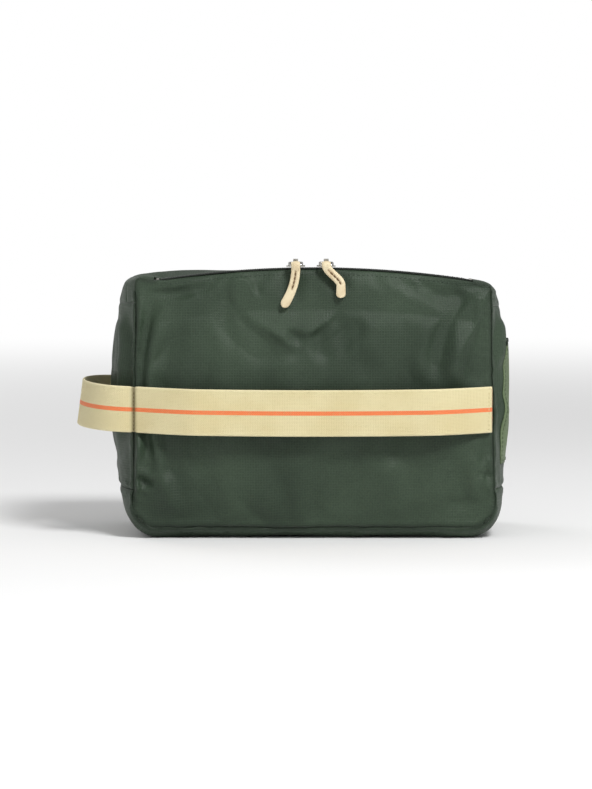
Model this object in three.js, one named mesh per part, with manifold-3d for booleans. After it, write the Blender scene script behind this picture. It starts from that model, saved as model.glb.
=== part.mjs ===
// A soft toiletry bag with a webbing trolley strap across its back and a webbing carry handle on its left side.
// Sizes are millimetres. +X runs along the zip, -Y is the back with the trolley strap, +Z is up and z = 0 is the floor.
import * as THREE from "three";
import { mergeVertices } from "three/addons/utils/BufferGeometryUtils.js";
import Module from "manifold-3d";

const wasm = await Module();
wasm.setup();

// The sewn body.
const DEPTH = 116; // between the back seam and the front seam
const BASE_WIDTH = 238; // back panel near the floor
const TOP_WIDTH = 232; // back panel near the zip
const SEAM_LIFT = 8; // the bottom seams stand this far off the floor
const FRONT_DROP = 5; // the front seam is this much lower than the back seam at the top
const BASE_CORNER = 16; // corner radius of the panels at the floor
const TOP_CORNER = 10; // corner radius of the panels at the top
const FABRIC = 1.6; // coated outer fabric with its backing
const LINING = 0.8;
const GAP = 0.4; // between pieces that are sewn together
const BACK_BULGE = 4;
const FRONT_BULGE = 8;
const SIDE_BULGE = { left: 17, right: 12 };
const TOP_BULGE = 2;
const FULLEST_HEIGHT = 92; // the side gussets stand out most here
const FLOOR_ROUND = 12; // the floor panel curves up over this distance from the seams
const SIDE_SEAM_HEIGHT = 33; // the bottom gusset turns up this far at each side
const SHOULDER = 8; // the top gusset reaches this far below the upper corner

// The zip follows a flat arch.
const ZIP_Y = -52;
const ZIP_HEIGHT = 178.6; // middle of the chain at mid width
const ZIP_DROP = 8; // the tape's ends lie this much lower than its middle
const ZIP_HALF = 104.4; // half the length of the tape
const CHAIN_HALF = 102; // half the length of the coil
const ZIP_RADIUS = (ZIP_HALF ** 2 + ZIP_DROP ** 2) / (2 * ZIP_DROP);
const ZIP_STAND = 2.2; // the middle of the chain above the seam line of the back panel
const TAPE_THICKNESS = 0.8;
const COIL_THICKNESS = 2;
const COIL_NEAR = 0.8; // edges of the coil, measured from the middle of the zip
const COIL_FAR = 3.6;
const TAPE_NEAR = 3.9;
const TAPE_FAR = 11.6; // front edge of the front tape
const STOP_LENGTH = 1.8;
const STOP_THICKNESS = 2.6;

// Sliders, their wire rings and the leather pulls.
const SLIDER_AT = { left: -12, right: 8 }; // along the zip from its middle
const SLIDER_LENGTH = 12.4;
const SLIDER_HALF_WIDTH = 5;
const PLATE_INNER = 1.3; // faces of the two plates, measured from the middle of the chain
const PLATE_OUTER = 2.2;
const POST_HALF_WIDTH = 0.5;
const CROWN_HEIGHT = 6.5;
const CROWN_HALF_LENGTH = 1.6;
const EYE_HALF_WIDTH = 1.4;
const EYE_TOP = 5.5;
const RING_LIFT = 3.95; // pivot of the ring above the middle of the chain
const RING_WIDTH = 8.4; // between the middles of the wire
const RING_LENGTH = 12.5;
const RING_CORNER = 1.2;
const WIRE_RADIUS = 0.7;
const RING_TILT = THREE.MathUtils.degToRad(6);
const PULL_LENGTH = { left: 27.5, right: 21.5 };
const PULL_WIDTH = 6.4;
const PULL_THICKNESS = 2.4;
const PULL_FOLD_RADIUS = 2.2; // the leather wraps round the ring's wire

// Webbing.
const WEBBING_WIDTH = 30.5;
const WEBBING_THICKNESS = 1.5;
const WEBBING_HEIGHT = 86; // middle of the webbing where it is sewn to the side seams
const STRAP_SAG = 1.5; // the trolley strap is this much lower at mid width
const STRAP_HALF = 117;
const SLEEVE_DEPTH = 13; // room for a trolley bar between the strap and the back panel
const BAR_SPAN = 78; // half the width across the trolley bars
const HANDLE_START = 7.8; // the free part of the handle starts this far out from its stitches
const HANDLE_REACH = 40; // the handle stands this far out from its stitches
const HANDLE_STAND = 1.6; // clearance between the handle's ends and the seams
const HANDLE_TAB = 12; // the handle's front end is sewn down over this length
const HANDLE_LEAN = 4; // the handle's lower edge leans out by this much
const HANDLE_LIFT = 2.4; // the handle stands up by this much where it is furthest out
const THREAD_THICKNESS = 0.6;
const THREAD_WIDTH = 1.6;

// Side pocket.
const POCKET_BOTTOM = 48;
const POCKET_TOP = 128;
const POCKET_HALF_WIDTH = 48;
const POCKET_BINDING = 4;

const halfDepth = DEPTH / 2;
const seamTop = ZIP_HEIGHT - ZIP_STAND;
const mix = THREE.MathUtils.lerp;
const ordered = (a, b) => [Math.min(a, b), Math.max(a, b)];

const finish = (color, roughness, metalness = 0) => new THREE.MeshStandardMaterial({ color, roughness, metalness });
const darkFabric = finish(0x3f4a3f, 0.62);
const sageFabric = finish(0x75825f, 0.78);
const webbingFinish = finish(0xded3a6, 0.85);
const leatherFinish = finish(0xe2d3b0, 0.6);
const nickelFinish = finish(0xc4c2bd, 0.25, 1);
const zipFinish = finish(0x20261f, 0.6);
const liningFinish = finish(0x33363a, 0.7);
const bindingFinish = finish(0x2b3129, 0.8);
const threadFinish = finish(0xcfc394, 0.9);

const bag = new THREE.Group();

function addPiece(name, geometry, material, parent = bag) {
  const piece = new THREE.Mesh(geometry, material);
  piece.name = name;
  parent.add(piece);
  return piece;
}

function signedVolume(positions, index) {
  const corner = (k) => new THREE.Vector3().fromArray(positions, index[k] * 3);
  let volume = 0;
  for (let k = 0; k < index.length; k += 3)
    volume += corner(k).dot(corner(k + 1).cross(corner(k + 2))) / 6;
  return volume;
}

// A closed surface from its points and triangles, turned so that its faces look outwards.
function closedGeometry(positions, index) {
  const facing = signedVolume(positions, index) < 0 ? [...index].reverse() : index;
  const geometry = new THREE.BufferGeometry();
  geometry.setAttribute("position", new THREE.Float32BufferAttribute(positions, 3));
  return geometry.setIndex(facing);
}

// A closed sheet of material. pointAt gives a point of its inner face for side 0 and of its outer face for side 1.
// u and v run from 0 to 1 across the sheet, and i counts the columns.
function sheet(pointAt, columns, rows) {
  const positions = [];
  const index = [];
  const vertex = (side, i, j) => (side * (rows + 1) + j) * (columns + 1) + i;
  const quad = (a, b, c, d) => index.push(a, b, c, a, c, d);
  for (const side of [0, 1])
    for (let j = 0; j <= rows; j++)
      for (let i = 0; i <= columns; i++) positions.push(...pointAt({ u: i / columns, v: j / rows, side, i }));
  for (let j = 0; j < rows; j++)
    for (let i = 0; i < columns; i++) {
      quad(vertex(1, i, j), vertex(1, i + 1, j), vertex(1, i + 1, j + 1), vertex(1, i, j + 1));
      quad(vertex(0, i, j), vertex(0, i, j + 1), vertex(0, i + 1, j + 1), vertex(0, i + 1, j));
    }
  for (let i = 0; i < columns; i++) {
    quad(vertex(0, i, 0), vertex(0, i + 1, 0), vertex(1, i + 1, 0), vertex(1, i, 0));
    quad(vertex(0, i + 1, rows), vertex(0, i, rows), vertex(1, i, rows), vertex(1, i + 1, rows));
  }
  for (let j = 0; j < rows; j++) {
    quad(vertex(0, 0, j + 1), vertex(0, 0, j), vertex(1, 0, j), vertex(1, 0, j + 1));
    quad(vertex(0, columns, j), vertex(0, columns, j + 1), vertex(1, columns, j + 1), vertex(1, columns, j));
  }
  return closedGeometry(positions, index);
}

// A closed loop of round wire in the XY plane.
function wireLoop(outline, steps, radius, sides) {
  const positions = [];
  const index = [];
  for (let i = 0; i < steps; i++) {
    const centre = outline.getPointAt(i / steps);
    const ahead = outline.getTangentAt(i / steps);
    const here = i * sides;
    const next = ((i + 1) % steps) * sides;
    for (let k = 0; k < sides; k++) {
      const turn = (2 * Math.PI * k) / sides;
      const out = radius * Math.cos(turn);
      positions.push(centre.x + ahead.y * out, centre.y - ahead.x * out, radius * Math.sin(turn));
      const beside = (k + 1) % sides;
      index.push(here + k, here + beside, next + beside, here + k, next + beside, next + k);
    }
  }
  return closedGeometry(positions, index);
}

function solidOf(geometry) {
  const bare = geometry.clone();
  bare.deleteAttribute("normal");
  bare.deleteAttribute("uv");
  const merged = mergeVertices(bare, 1e-4);
  const vertProperties = merged.attributes.position.array;
  return new wasm.Manifold(new wasm.Mesh({ numProp: 3, vertProperties, triVerts: new Uint32Array(merged.index.array) }));
}

function geometryOf(solid) {
  const mesh = solid.getMesh();
  const geometry = new THREE.BufferGeometry();
  geometry.setAttribute("position", new THREE.BufferAttribute(mesh.vertProperties, 3));
  return geometry.setIndex(new THREE.BufferAttribute(mesh.triVerts, 1));
}

function block([fromX, toX], [fromY, toY], [fromZ, toZ]) {
  const box = new THREE.BoxGeometry(toX - fromX, toY - fromY, toZ - fromZ);
  return solidOf(box.translate((fromX + toX) / 2, (fromY + toY) / 2, (fromZ + toZ) / 2));
}

const joined = (solids) => solids.reduce((all, solid) => all.add(solid));

// Height of the top arch at x, below its height at mid width.
const archDrop = (x) => Math.sqrt(ZIP_RADIUS ** 2 - x ** 2) - ZIP_RADIUS;
const halfWidthAt = (z) => mix(BASE_WIDTH, TOP_WIDTH, z / ZIP_HEIGHT) / 2;

// Distances along one half of a seam line whose arch is at height top, from the middle of the floor to the crown.
function landmarks(top) {
  const headHalf = halfWidthAt(top) - TOP_CORNER;
  const sideBase = SEAM_LIFT + BASE_CORNER;
  const sideHead = top + archDrop(headHalf) - TOP_CORNER;
  const floorEnd = halfWidthAt(0) - BASE_CORNER;
  const sideStart = floorEnd + (BASE_CORNER * Math.PI) / 2;
  const sideEnd = sideStart + sideHead - sideBase;
  const archStart = sideEnd + (TOP_CORNER * Math.PI) / 2;
  const crown = archStart + headHalf;
  const onSide = (z) => sideStart + z - sideBase;
  return {
    headHalf, sideBase, sideHead, middle: 0, floorEnd, sideStart, sideEnd, archStart, crown,
    lowerSeam: onSide(SIDE_SEAM_HEIGHT),
    aboveLowerSeam: onSide(SIDE_SEAM_HEIGHT + GAP),
    belowShoulder: sideEnd - SHOULDER - GAP,
    shoulder: sideEnd - SHOULDER,
    zipEnd: crown - ZIP_HALF - GAP,
    pocketBottom: onSide(POCKET_BOTTOM),
    pocketTop: onSide(POCKET_TOP),
    bindingBottom: onSide(POCKET_TOP + GAP),
    bindingTop: onSide(POCKET_TOP + GAP + POCKET_BINDING),
  };
}

// The point of the seam line at a distance, with its outward direction.
function rim(distance, top) {
  const at = landmarks(top);
  if (distance <= at.floorEnd) return { x: distance, z: SEAM_LIFT, nx: 0, nz: -1 };
  if (distance < at.sideStart) {
    const angle = (distance - at.floorEnd) / BASE_CORNER - Math.PI / 2;
    return rounded(at.floorEnd, at.sideBase, BASE_CORNER, angle);
  }
  if (distance <= at.sideEnd) {
    const share = (distance - at.sideStart) / (at.sideEnd - at.sideStart);
    const x = mix(at.floorEnd + BASE_CORNER, at.headHalf + TOP_CORNER, share);
    return { x, z: mix(at.sideBase, at.sideHead, share), nx: 1, nz: 0 };
  }
  if (distance < at.archStart) return rounded(at.headHalf, at.sideHead, TOP_CORNER, (distance - at.sideEnd) / TOP_CORNER);
  const x = at.crown - distance;
  return { x, z: top + archDrop(x), nx: 0, nz: 1 };
}

function rounded(x, z, radius, angle) {
  const nx = Math.cos(angle);
  const nz = Math.sin(angle);
  return { x: x + radius * nx, z: z + radius * nz, nx, nz };
}

// A path names landmarks with the number of columns between them, as in ["middle", 4, "floorEnd"].
function places(path, top) {
  const at = landmarks(top);
  const found = [at[path[0]]];
  for (let k = 0; k + 2 < path.length; k += 2)
    for (let i = 1; i <= path[k + 1]; i++) found.push(mix(at[path[k]], at[path[k + 2]], i / path[k + 1]));
  return found;
}

// sides is -1 or 1 for a piece on one side, or 0 for one that runs across the middle, where its path starts.
function signedPlaces(path, sides, top) {
  const half = places(path, top);
  if (sides) return half.map((distance) => ({ sign: sides, distance }));
  const left = half.slice(1).reverse().map((distance) => ({ sign: -1, distance }));
  return [...left, ...half.map((distance) => ({ sign: 1, distance }))];
}

// A strip of gusset between the two seams: it follows a path along the rim and runs from fromY to toY.
// bulge(point, y, sign) is how far its inner face stands out from the seam line, and lowest is where it rests.
function gusset({ path, sides, fromY, toY, bulge, rows, thickness = FABRIC, lowest = 0 }) {
  const columns = signedPlaces(path, sides, seamTop).length - 1;
  return sheet(({ v, side, i }) => {
    const y = mix(fromY, toY, (1 - Math.cos(Math.PI * v)) / 2);
    const top = seamTop - (FRONT_DROP * (y + halfDepth)) / DEPTH;
    const { sign, distance } = signedPlaces(path, sides, top)[i];
    const p = rim(distance, top);
    const out = bulge(p, y, sign) + side * thickness;
    const z = Math.max(lowest + (1 - side) * thickness, p.z + p.nz * out);
    return [sign * (p.x + p.nx * out), y, z];
  }, columns, rows);
}

// How far the sides stand out at a point of the rim and a depth: most at mid height and mid depth.
function sideBulge(p, y, sign) {
  const upright = Math.abs(p.z - FULLEST_HEIGHT) / FULLEST_HEIGHT;
  const level = 0.3 + 0.7 * (1 - upright ** 3.5);
  const full = sign < 0 ? SIDE_BULGE.left : SIDE_BULGE.right;
  return full * p.nx * level * (1 - Math.abs(y / halfDepth) ** 2.4);
}

// The floor panel reaches down from its seams to lie flat on the floor.
function floorBulge(p, y) {
  const edge = Math.max(0, Math.abs(y) - (halfDepth - FLOOR_ROUND)) / FLOOR_ROUND;
  return Math.max(0, -p.nz) * (SEAM_LIFT - FABRIC) * (1 - edge ** 2);
}

const bottomBulge = (p, y, sign) => floorBulge(p, y) + sideBulge(p, y, sign);
const topBulge = (p, y, sign) => TOP_BULGE * Math.max(0, p.nz) * (1 - (y / halfDepth) ** 4) + sideBulge(p, y, sign);

const seamToSeam = { fromY: -(halfDepth - GAP), toY: halfDepth - GAP };
const BOTTOM_PATH = ["middle", 3, "floorEnd", 5, "sideStart", 2, "lowerSeam"];
const SIDE_PATH = ["aboveLowerSeam", 9, "belowShoulder"];
const TOP_PATH = ["crown", 6, "archStart", 4, "sideEnd", 1, "shoulder"];
const END_PATH = ["zipEnd", 1, "archStart", 4, "sideEnd", 1, "shoulder"];

const bottomGusset = { path: BOTTOM_PATH, sides: 0, bulge: bottomBulge, rows: 10, ...seamToSeam };
const sideGusset = (sides) => ({ path: SIDE_PATH, sides, bulge: sideBulge, rows: 10, ...seamToSeam });
const topGusset = { path: TOP_PATH, sides: 0, bulge: topBulge, rows: 4, fromY: ZIP_Y + TAPE_FAR + GAP, toY: halfDepth - GAP };
const zipEndTab = (sides) => ({
  path: END_PATH, sides, bulge: sideBulge, rows: 2, fromY: -(halfDepth - GAP), toY: ZIP_Y + TAPE_FAR,
});

// A level of a panel whose outline stands grow outside the seam line: its height, half width and share of the arch.
function panelLevel(share, top, grow) {
  const headHalf = halfWidthAt(top) - TOP_CORNER;
  const low = SEAM_LIFT - grow;
  const high = top + archDrop(headHalf) + grow;
  const z = mix(low, high, (1 - Math.cos(Math.PI * share)) / 2);
  const cut = (radius, inside) => radius - Math.sqrt(radius ** 2 - Math.max(0, radius - inside) ** 2);
  const square = mix(BASE_WIDTH, TOP_WIDTH, (z - low) / (high - low)) / 2 + grow;
  const half = square - cut(BASE_CORNER + grow, z - low) - cut(TOP_CORNER + grow, high - z);
  const arch = (x) => (archDrop(Math.min(Math.abs(x), headHalf)) - archDrop(headHalf)) * share ** 2;
  return { z, half, arch };
}

// A back or front panel: facing is -1 for the back and 1 for the front, and stand is its inner face at the seam.
function panel({ facing, top, bulge, stand = halfDepth, grow = FABRIC, thickness = FABRIC, columns = 12, rows = 12 }) {
  return sheet(({ u, v, side }) => {
    const level = panelLevel(v, top, grow);
    const across = 2 * u - 1;
    const x = across * level.half;
    const dome = (1 - across ** 4) * (1 - Math.cos(Math.PI * v) ** 4);
    return [x, facing * (stand + bulge * dome + side * thickness), level.z + level.arch(x)];
  }, columns, rows);
}

function addShell() {
  addPiece("back_panel", panel({ facing: -1, top: seamTop, bulge: BACK_BULGE }), darkFabric);
  addPiece("front_panel", panel({ facing: 1, top: seamTop - FRONT_DROP, bulge: FRONT_BULGE }), darkFabric);
  addPiece("side_gusset_left", gusset(sideGusset(-1)), darkFabric);
  addPiece("side_gusset_right", gusset(sideGusset(1)), darkFabric);
  addPiece("bottom_gusset", gusset(bottomGusset), darkFabric);
  addPiece("top_gusset", gusset(topGusset), darkFabric);
}

// A flat slip pocket on the right side gusset, with a bound top edge.
function addSidePocket() {
  const bulge = (p, y, sign) => sideBulge(p, y, sign) + FABRIC + GAP;
  const patch = { sides: 1, bulge, rows: 8, fromY: -POCKET_HALF_WIDTH, toY: POCKET_HALF_WIDTH };
  addPiece("side_pocket", gusset({ ...patch, path: ["pocketBottom", 7, "pocketTop"], thickness: 1 }), sageFabric);
  const edge = { ...patch, path: ["bindingBottom", 1, "bindingTop"], thickness: 1.8 };
  addPiece("side_pocket_binding", gusset(edge), bindingFinish);
}

function addLining() {
  const inset = LINING + 2 * GAP;
  const within = ({ bulge, ...strip }) => ({
    ...strip, bulge: (p, y, sign) => bulge(p, y, sign) - inset, thickness: LINING, toY: halfDepth - 2 * inset,
    lowest: inset + LINING,
  });
  const between = (strip) => ({ ...within(strip), fromY: -(halfDepth - 2 * inset) });
  const flat = { bulge: 0, stand: halfDepth - inset, grow: -3, thickness: LINING, columns: 4, rows: 8 };
  addPiece("lining_back", panel({ ...flat, facing: -1, top: seamTop - 2 }), liningFinish);
  addPiece("lining_front", panel({ ...flat, facing: 1, top: seamTop - FRONT_DROP }), liningFinish);
  addPiece("lining_side_left", gusset(between(sideGusset(-1))), liningFinish);
  addPiece("lining_side_right", gusset(between(sideGusset(1))), liningFinish);
  addPiece("lining_bottom", gusset(between(bottomGusset)), liningFinish);
  addPiece("lining_top", gusset(within(topGusset)), liningFinish);
}

// Binding tape over the raw edges of a seam, inside the bag.
function seamBinding(facing, top) {
  const inset = 5;
  const width = 6;
  const thickness = 1;
  const path = ["middle", 2, "floorEnd", 4, "sideStart", 2, "sideEnd", 3, "archStart", 4, "crown"];
  const half = (sign) => sheet(({ v, side, i }) => {
    const p = rim(places(path, top)[i], top);
    const out = -inset - side * thickness;
    return [sign * (p.x + p.nx * out), facing * (halfDepth - 2.6 - v * width), p.z + p.nz * out];
  }, 15, 1);
  return geometryOf(joined([solidOf(half(1)), solidOf(half(-1))]));
}

// A point by the zip: along it from its middle, above the middle of the chain, and across it towards the front.
function byZip(along, above, across) {
  const angle = along / ZIP_RADIUS;
  const reach = ZIP_RADIUS + above;
  return [reach * Math.sin(angle), ZIP_Y + across, ZIP_HEIGHT - ZIP_RADIUS + reach * Math.cos(angle)];
}

// A flat bar along the zip.
function zipBar([fromAlong, toAlong], [fromAcross, toAcross], thickness, columns) {
  return sheet(({ u, v, side }) => {
    return byZip(mix(fromAlong, toAlong, u), (side - 0.5) * thickness, mix(fromAcross, toAcross, v));
  }, columns, 1);
}

function addZip() {
  const tape = [-ZIP_HALF, ZIP_HALF];
  const chain = [-CHAIN_HALF, CHAIN_HALF];
  const backEdge = -(halfDepth - GAP) - ZIP_Y;
  addPiece("zip_tape_back", zipBar(tape, [backEdge, -TAPE_NEAR], TAPE_THICKNESS, 16), zipFinish);
  addPiece("zip_tape_front", zipBar(tape, [TAPE_NEAR, TAPE_FAR], TAPE_THICKNESS, 16), zipFinish);
  addPiece("zip_coil_back", zipBar(chain, [-COIL_FAR, -COIL_NEAR], COIL_THICKNESS, 24), zipFinish);
  addPiece("zip_coil_front", zipBar(chain, [COIL_NEAR, COIL_FAR], COIL_THICKNESS, 24), zipFinish);
  for (const [name, sign] of [["left", -1], ["right", 1]]) {
    const stop = ordered(sign * (CHAIN_HALF + GAP), sign * (CHAIN_HALF + GAP + STOP_LENGTH));
    addPiece("zip_stop_" + name, zipBar(stop, [-COIL_FAR, COIL_FAR], STOP_THICKNESS, 1), nickelFinish);
    addPiece("zip_end_tab_" + name, gusset(zipEndTab(sign)), darkFabric);
  }
}

// A plate of the slider: widest at its shoulders, with a blunt nose that points along +X for nose 1.
function sliderPlate(nose, [fromZ, toZ]) {
  const half = SLIDER_LENGTH / 2;
  const tail = SLIDER_HALF_WIDTH - 0.8;
  const side = [[-half, -tail], [-1, -SLIDER_HALF_WIDTH], [half - 1.2, -SLIDER_HALF_WIDTH], [half, -SLIDER_HALF_WIDTH / 2]];
  const otherSide = side.map(([x, y]) => [x, -y]).reverse();
  const outline = new THREE.Shape([...side, ...otherSide].map(([x, y]) => new THREE.Vector2(nose * x, y)));
  const plate = new THREE.ExtrudeGeometry(outline, { depth: toZ - fromZ, bevelEnabled: false });
  return solidOf(plate.translate(0, 0, fromZ));
}

// Two plates joined by a post at the nose, lips that hold the coil, and a crown whose eye takes the ring.
function sliderBody(nose) {
  const overlap = 0.1;
  const bothSides = (make) => [-1, 1].map(make);
  const lips = bothSides((side) => bothSides((level) => block(
    ordered(-nose, nose * (SLIDER_LENGTH / 2 - 1.4)),
    ordered(side * SLIDER_HALF_WIDTH, side * (COIL_FAR + GAP)),
    ordered(level * (TAPE_THICKNESS / 2 + GAP), level * (PLATE_INNER + overlap)),
  ))).flat();
  const crownLength = [-CROWN_HALF_LENGTH, CROWN_HALF_LENGTH];
  const crownEdge = EYE_HALF_WIDTH + 0.9;
  const legs = bothSides((side) => block(
    crownLength, ordered(side * EYE_HALF_WIDTH, side * crownEdge), [PLATE_OUTER - overlap, EYE_TOP + overlap],
  ));
  return geometryOf(joined([
    sliderPlate(nose, [PLATE_INNER, PLATE_OUTER]),
    sliderPlate(nose, [-PLATE_OUTER, -PLATE_INNER]),
    block(ordered(nose * 2.6, nose * 4.2), [-POST_HALF_WIDTH, POST_HALF_WIDTH], [-PLATE_INNER - overlap, PLATE_INNER + overlap]),
    ...lips,
    ...legs,
    block(crownLength, [-crownEdge, crownEdge], [EYE_TOP, CROWN_HEIGHT]),
  ]));
}

// A rounded rectangle of wire: its near side lies on the X axis and its far side at y = -RING_LENGTH.
function pullRing() {
  const half = RING_WIDTH / 2;
  const outline = new THREE.Path();
  const turn = (x, y, from) => outline.absarc(x, y, RING_CORNER, from, from - Math.PI / 2, true);
  outline.moveTo(-half + RING_CORNER, 0);
  outline.lineTo(half - RING_CORNER, 0);
  turn(half - RING_CORNER, -RING_CORNER, Math.PI / 2);
  turn(half - RING_CORNER, -RING_LENGTH + RING_CORNER, 0);
  turn(-half + RING_CORNER, -RING_LENGTH + RING_CORNER, -Math.PI / 2);
  turn(-half + RING_CORNER, -RING_CORNER, -Math.PI);
  outline.closePath();
  return wireLoop(outline, 40, WIRE_RADIUS, 6);
}

// A leather strip folded round the ring's far wire. drift(t) is its sideways place, with t from 0 at the wire to 1 at the tip.
function leatherPull(length, drift) {
  const tipRound = 0.12;
  const leanOut = 0.8;
  const middle = (t) => new THREE.Vector2(drift(t), -length * t);
  const strip = sheet(({ u, v, side }) => {
    const ahead = middle(Math.min(1, u + 0.01)).sub(middle(Math.max(0, u - 0.01))).normalize();
    const intoTip = Math.max(0, u - 1 + tipRound) / tipRound;
    const across = (v - 0.5) * PULL_WIDTH * (1 - 0.55 * intoTip ** 3);
    const centre = middle(u);
    return [centre.x - ahead.y * across, -u * leanOut + (side - 0.5) * PULL_THICKNESS, centre.y + ahead.x * across];
  }, 18, 1);
  const rod = (radius, length) => solidOf(new THREE.CylinderGeometry(radius, radius, length, 18).rotateZ(Math.PI / 2));
  const fold = rod(PULL_FOLD_RADIUS, PULL_WIDTH);
  return geometryOf(solidOf(strip).add(fold).subtract(rod(WIRE_RADIUS + 0.35, PULL_WIDTH + 4)));
}

function addSlider(name, nose, drift) {
  const onArch = new THREE.Group();
  onArch.position.set(0, ZIP_Y, ZIP_HEIGHT - ZIP_RADIUS);
  onArch.rotation.y = SLIDER_AT[name] / ZIP_RADIUS;
  bag.add(onArch);
  addPiece("slider_" + name, sliderBody(nose), nickelFinish, onArch).position.z = ZIP_RADIUS;
  const ring = addPiece("pull_ring_" + name, pullRing(), nickelFinish, onArch);
  ring.position.z = ZIP_RADIUS + RING_LIFT;
  ring.rotation.x = RING_TILT;
  const pull = addPiece("leather_pull_" + name, leatherPull(PULL_LENGTH[name], drift), leatherFinish, onArch);
  pull.position.set(0, -RING_LENGTH * Math.cos(RING_TILT), ring.position.z - RING_LENGTH * Math.sin(RING_TILT));
}

// The trolley strap stands off the back panel over the bars and slopes down to the seams at both ends.
function trolleyStrap() {
  return sheet(({ u, v, side }) => {
    const x = mix(-STRAP_HALF - 1.5, STRAP_HALF, u);
    const slope = THREE.MathUtils.clamp((STRAP_HALF - Math.abs(x)) / (STRAP_HALF - BAR_SPAN), 0, 1);
    const standoff = mix(1, BACK_BULGE + SLEEVE_DEPTH, 1 - (1 - slope) ** 1.3);
    const y = -(halfDepth + FABRIC + standoff + side * WEBBING_THICKNESS);
    const middle = WEBBING_HEIGHT - STRAP_SAG * (1 - (x / STRAP_HALF) ** 2);
    return [x, y, middle + (v - 0.5) * WEBBING_WIDTH];
  }, 32, 1);
}

// The carry handle: a loop of webbing from the back seam round to the front seam of the left side.
function sideHandle() {
  const stitchX = -halfWidthAt(WEBBING_HEIGHT);
  const endY = halfDepth + FABRIC + HANDLE_STAND;
  const startAngle = Math.asin((HANDLE_START / HANDLE_REACH) ** 1.4);
  const centre = (angle) => new THREE.Vector2(stitchX - HANDLE_REACH * Math.sin(angle) ** (1 / 1.4), -endY * Math.cos(angle));
  return sheet(({ u, v, side }) => {
    const angle = mix(startAngle, Math.PI - startAngle, u);
    const p = centre(angle);
    const ahead = centre(angle + 0.01).sub(centre(angle - 0.01)).normalize();
    const out = (side - 0.5) * WEBBING_THICKNESS;
    const lean = (v - 0.5) * HANDLE_LEAN * Math.sin(angle);
    const middle = WEBBING_HEIGHT + HANDLE_LIFT * Math.sin(angle);
    return [p.x - ahead.y * out + lean, p.y + ahead.x * out, middle + (v - 0.5) * WEBBING_WIDTH];
  }, 28, 1);
}

// A row of lock stitches across the webbing, as one flat bar of thread.
function stitchRow(x, y) {
  return new THREE.BoxGeometry(THREAD_WIDTH, THREAD_THICKNESS, WEBBING_WIDTH - 2).translate(x, y, WEBBING_HEIGHT);
}

// The end of the handle's webbing that is sewn flat to the front panel.
function handleEnd(skinY) {
  const end = new THREE.BoxGeometry(HANDLE_TAB, WEBBING_THICKNESS, WEBBING_WIDTH);
  return end.translate(-STRAP_HALF - 1.5 + HANDLE_TAB / 2, skinY + WEBBING_THICKNESS / 2, WEBBING_HEIGHT);
}

function addWebbing() {
  const backSkin = halfDepth + FABRIC + 1.9;
  const frontSkin = halfDepth + FABRIC + 3.6;
  const stitchStand = WEBBING_THICKNESS + GAP + THREAD_THICKNESS / 2;
  addPiece("trolley_strap", trolleyStrap(), webbingFinish);
  addPiece("side_handle", sideHandle(), webbingFinish);
  addPiece("handle_end_front", handleEnd(frontSkin), webbingFinish);
  addPiece("strap_stitches_right", stitchRow(STRAP_HALF - 1.5, -(backSkin + stitchStand)), threadFinish);
  addPiece("handle_stitches_back", stitchRow(-STRAP_HALF + 0.5, -(backSkin + stitchStand)), threadFinish);
  addPiece("handle_stitches_front", stitchRow(-STRAP_HALF + 0.5, frontSkin + stitchStand), threadFinish);
}

addShell();
addSidePocket();
addLining();
addPiece("seam_binding_back", seamBinding(-1, seamTop - 3), bindingFinish);
addPiece("seam_binding_front", seamBinding(1, seamTop - FRONT_DROP), bindingFinish);
addZip();
addSlider("left", 1, (t) => 1.2 * t * (1 - t) - 9 * t ** 2);
addSlider("right", -1, (t) => 9.8 * THREE.MathUtils.smoothstep(t, 0, 0.62));
addWebbing();

export default bag;
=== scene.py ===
"""Looks of a soft toiletry bag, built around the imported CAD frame.

Lengths are in millimetres until a mesh is made. Materials and lights are in metres.
"""

import math

import bpy
import numpy as np
from mathutils import Matrix, Vector, noise
from mathutils.bvhtree import BVHTree
from mathutils.kdtree import KDTree


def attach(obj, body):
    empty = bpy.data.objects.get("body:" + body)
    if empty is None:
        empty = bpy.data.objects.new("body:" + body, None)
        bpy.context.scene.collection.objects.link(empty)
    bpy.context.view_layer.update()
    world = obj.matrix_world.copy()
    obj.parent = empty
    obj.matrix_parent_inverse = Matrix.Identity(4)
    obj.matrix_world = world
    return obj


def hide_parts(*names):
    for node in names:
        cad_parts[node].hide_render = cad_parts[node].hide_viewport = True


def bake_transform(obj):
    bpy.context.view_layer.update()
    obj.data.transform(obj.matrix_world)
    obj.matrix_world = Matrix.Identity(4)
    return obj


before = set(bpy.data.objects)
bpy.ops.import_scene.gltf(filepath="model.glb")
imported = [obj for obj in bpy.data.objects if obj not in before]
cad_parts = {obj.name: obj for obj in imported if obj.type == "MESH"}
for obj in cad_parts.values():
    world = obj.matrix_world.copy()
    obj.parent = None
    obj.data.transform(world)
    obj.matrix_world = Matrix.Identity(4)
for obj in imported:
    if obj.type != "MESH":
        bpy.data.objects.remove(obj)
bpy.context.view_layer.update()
MM = 0.001

# The sewn body, as the CAD has it. Its corners are sharper and its left shoulder higher than the
# plain solids.
HALF_DEPTH = 58.0
BASE_WIDTH = 238.0
TOP_WIDTH = 232.0
SEAM_LIFT = 8.0
FRONT_DROP = 5.0
BASE_CORNER = 16.0
TOP_CORNER = 5.5
FABRIC = 1.6
BACK_BULGE = 4.0
FRONT_BULGE = 8.0
SIDE_BULGE = {-1: 15.6, 1: 8.6}
SHOULDER_RISE = 5.0
TOP_BULGE = 2.0
FULLEST_HEIGHT = 92.0
FLOOR_ROUND = 12.0
SIDE_SEAM_HEIGHT = 33.0
SHOULDER = 8.0
OUTER_SEAM = HALF_DEPTH + 1.0

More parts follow.
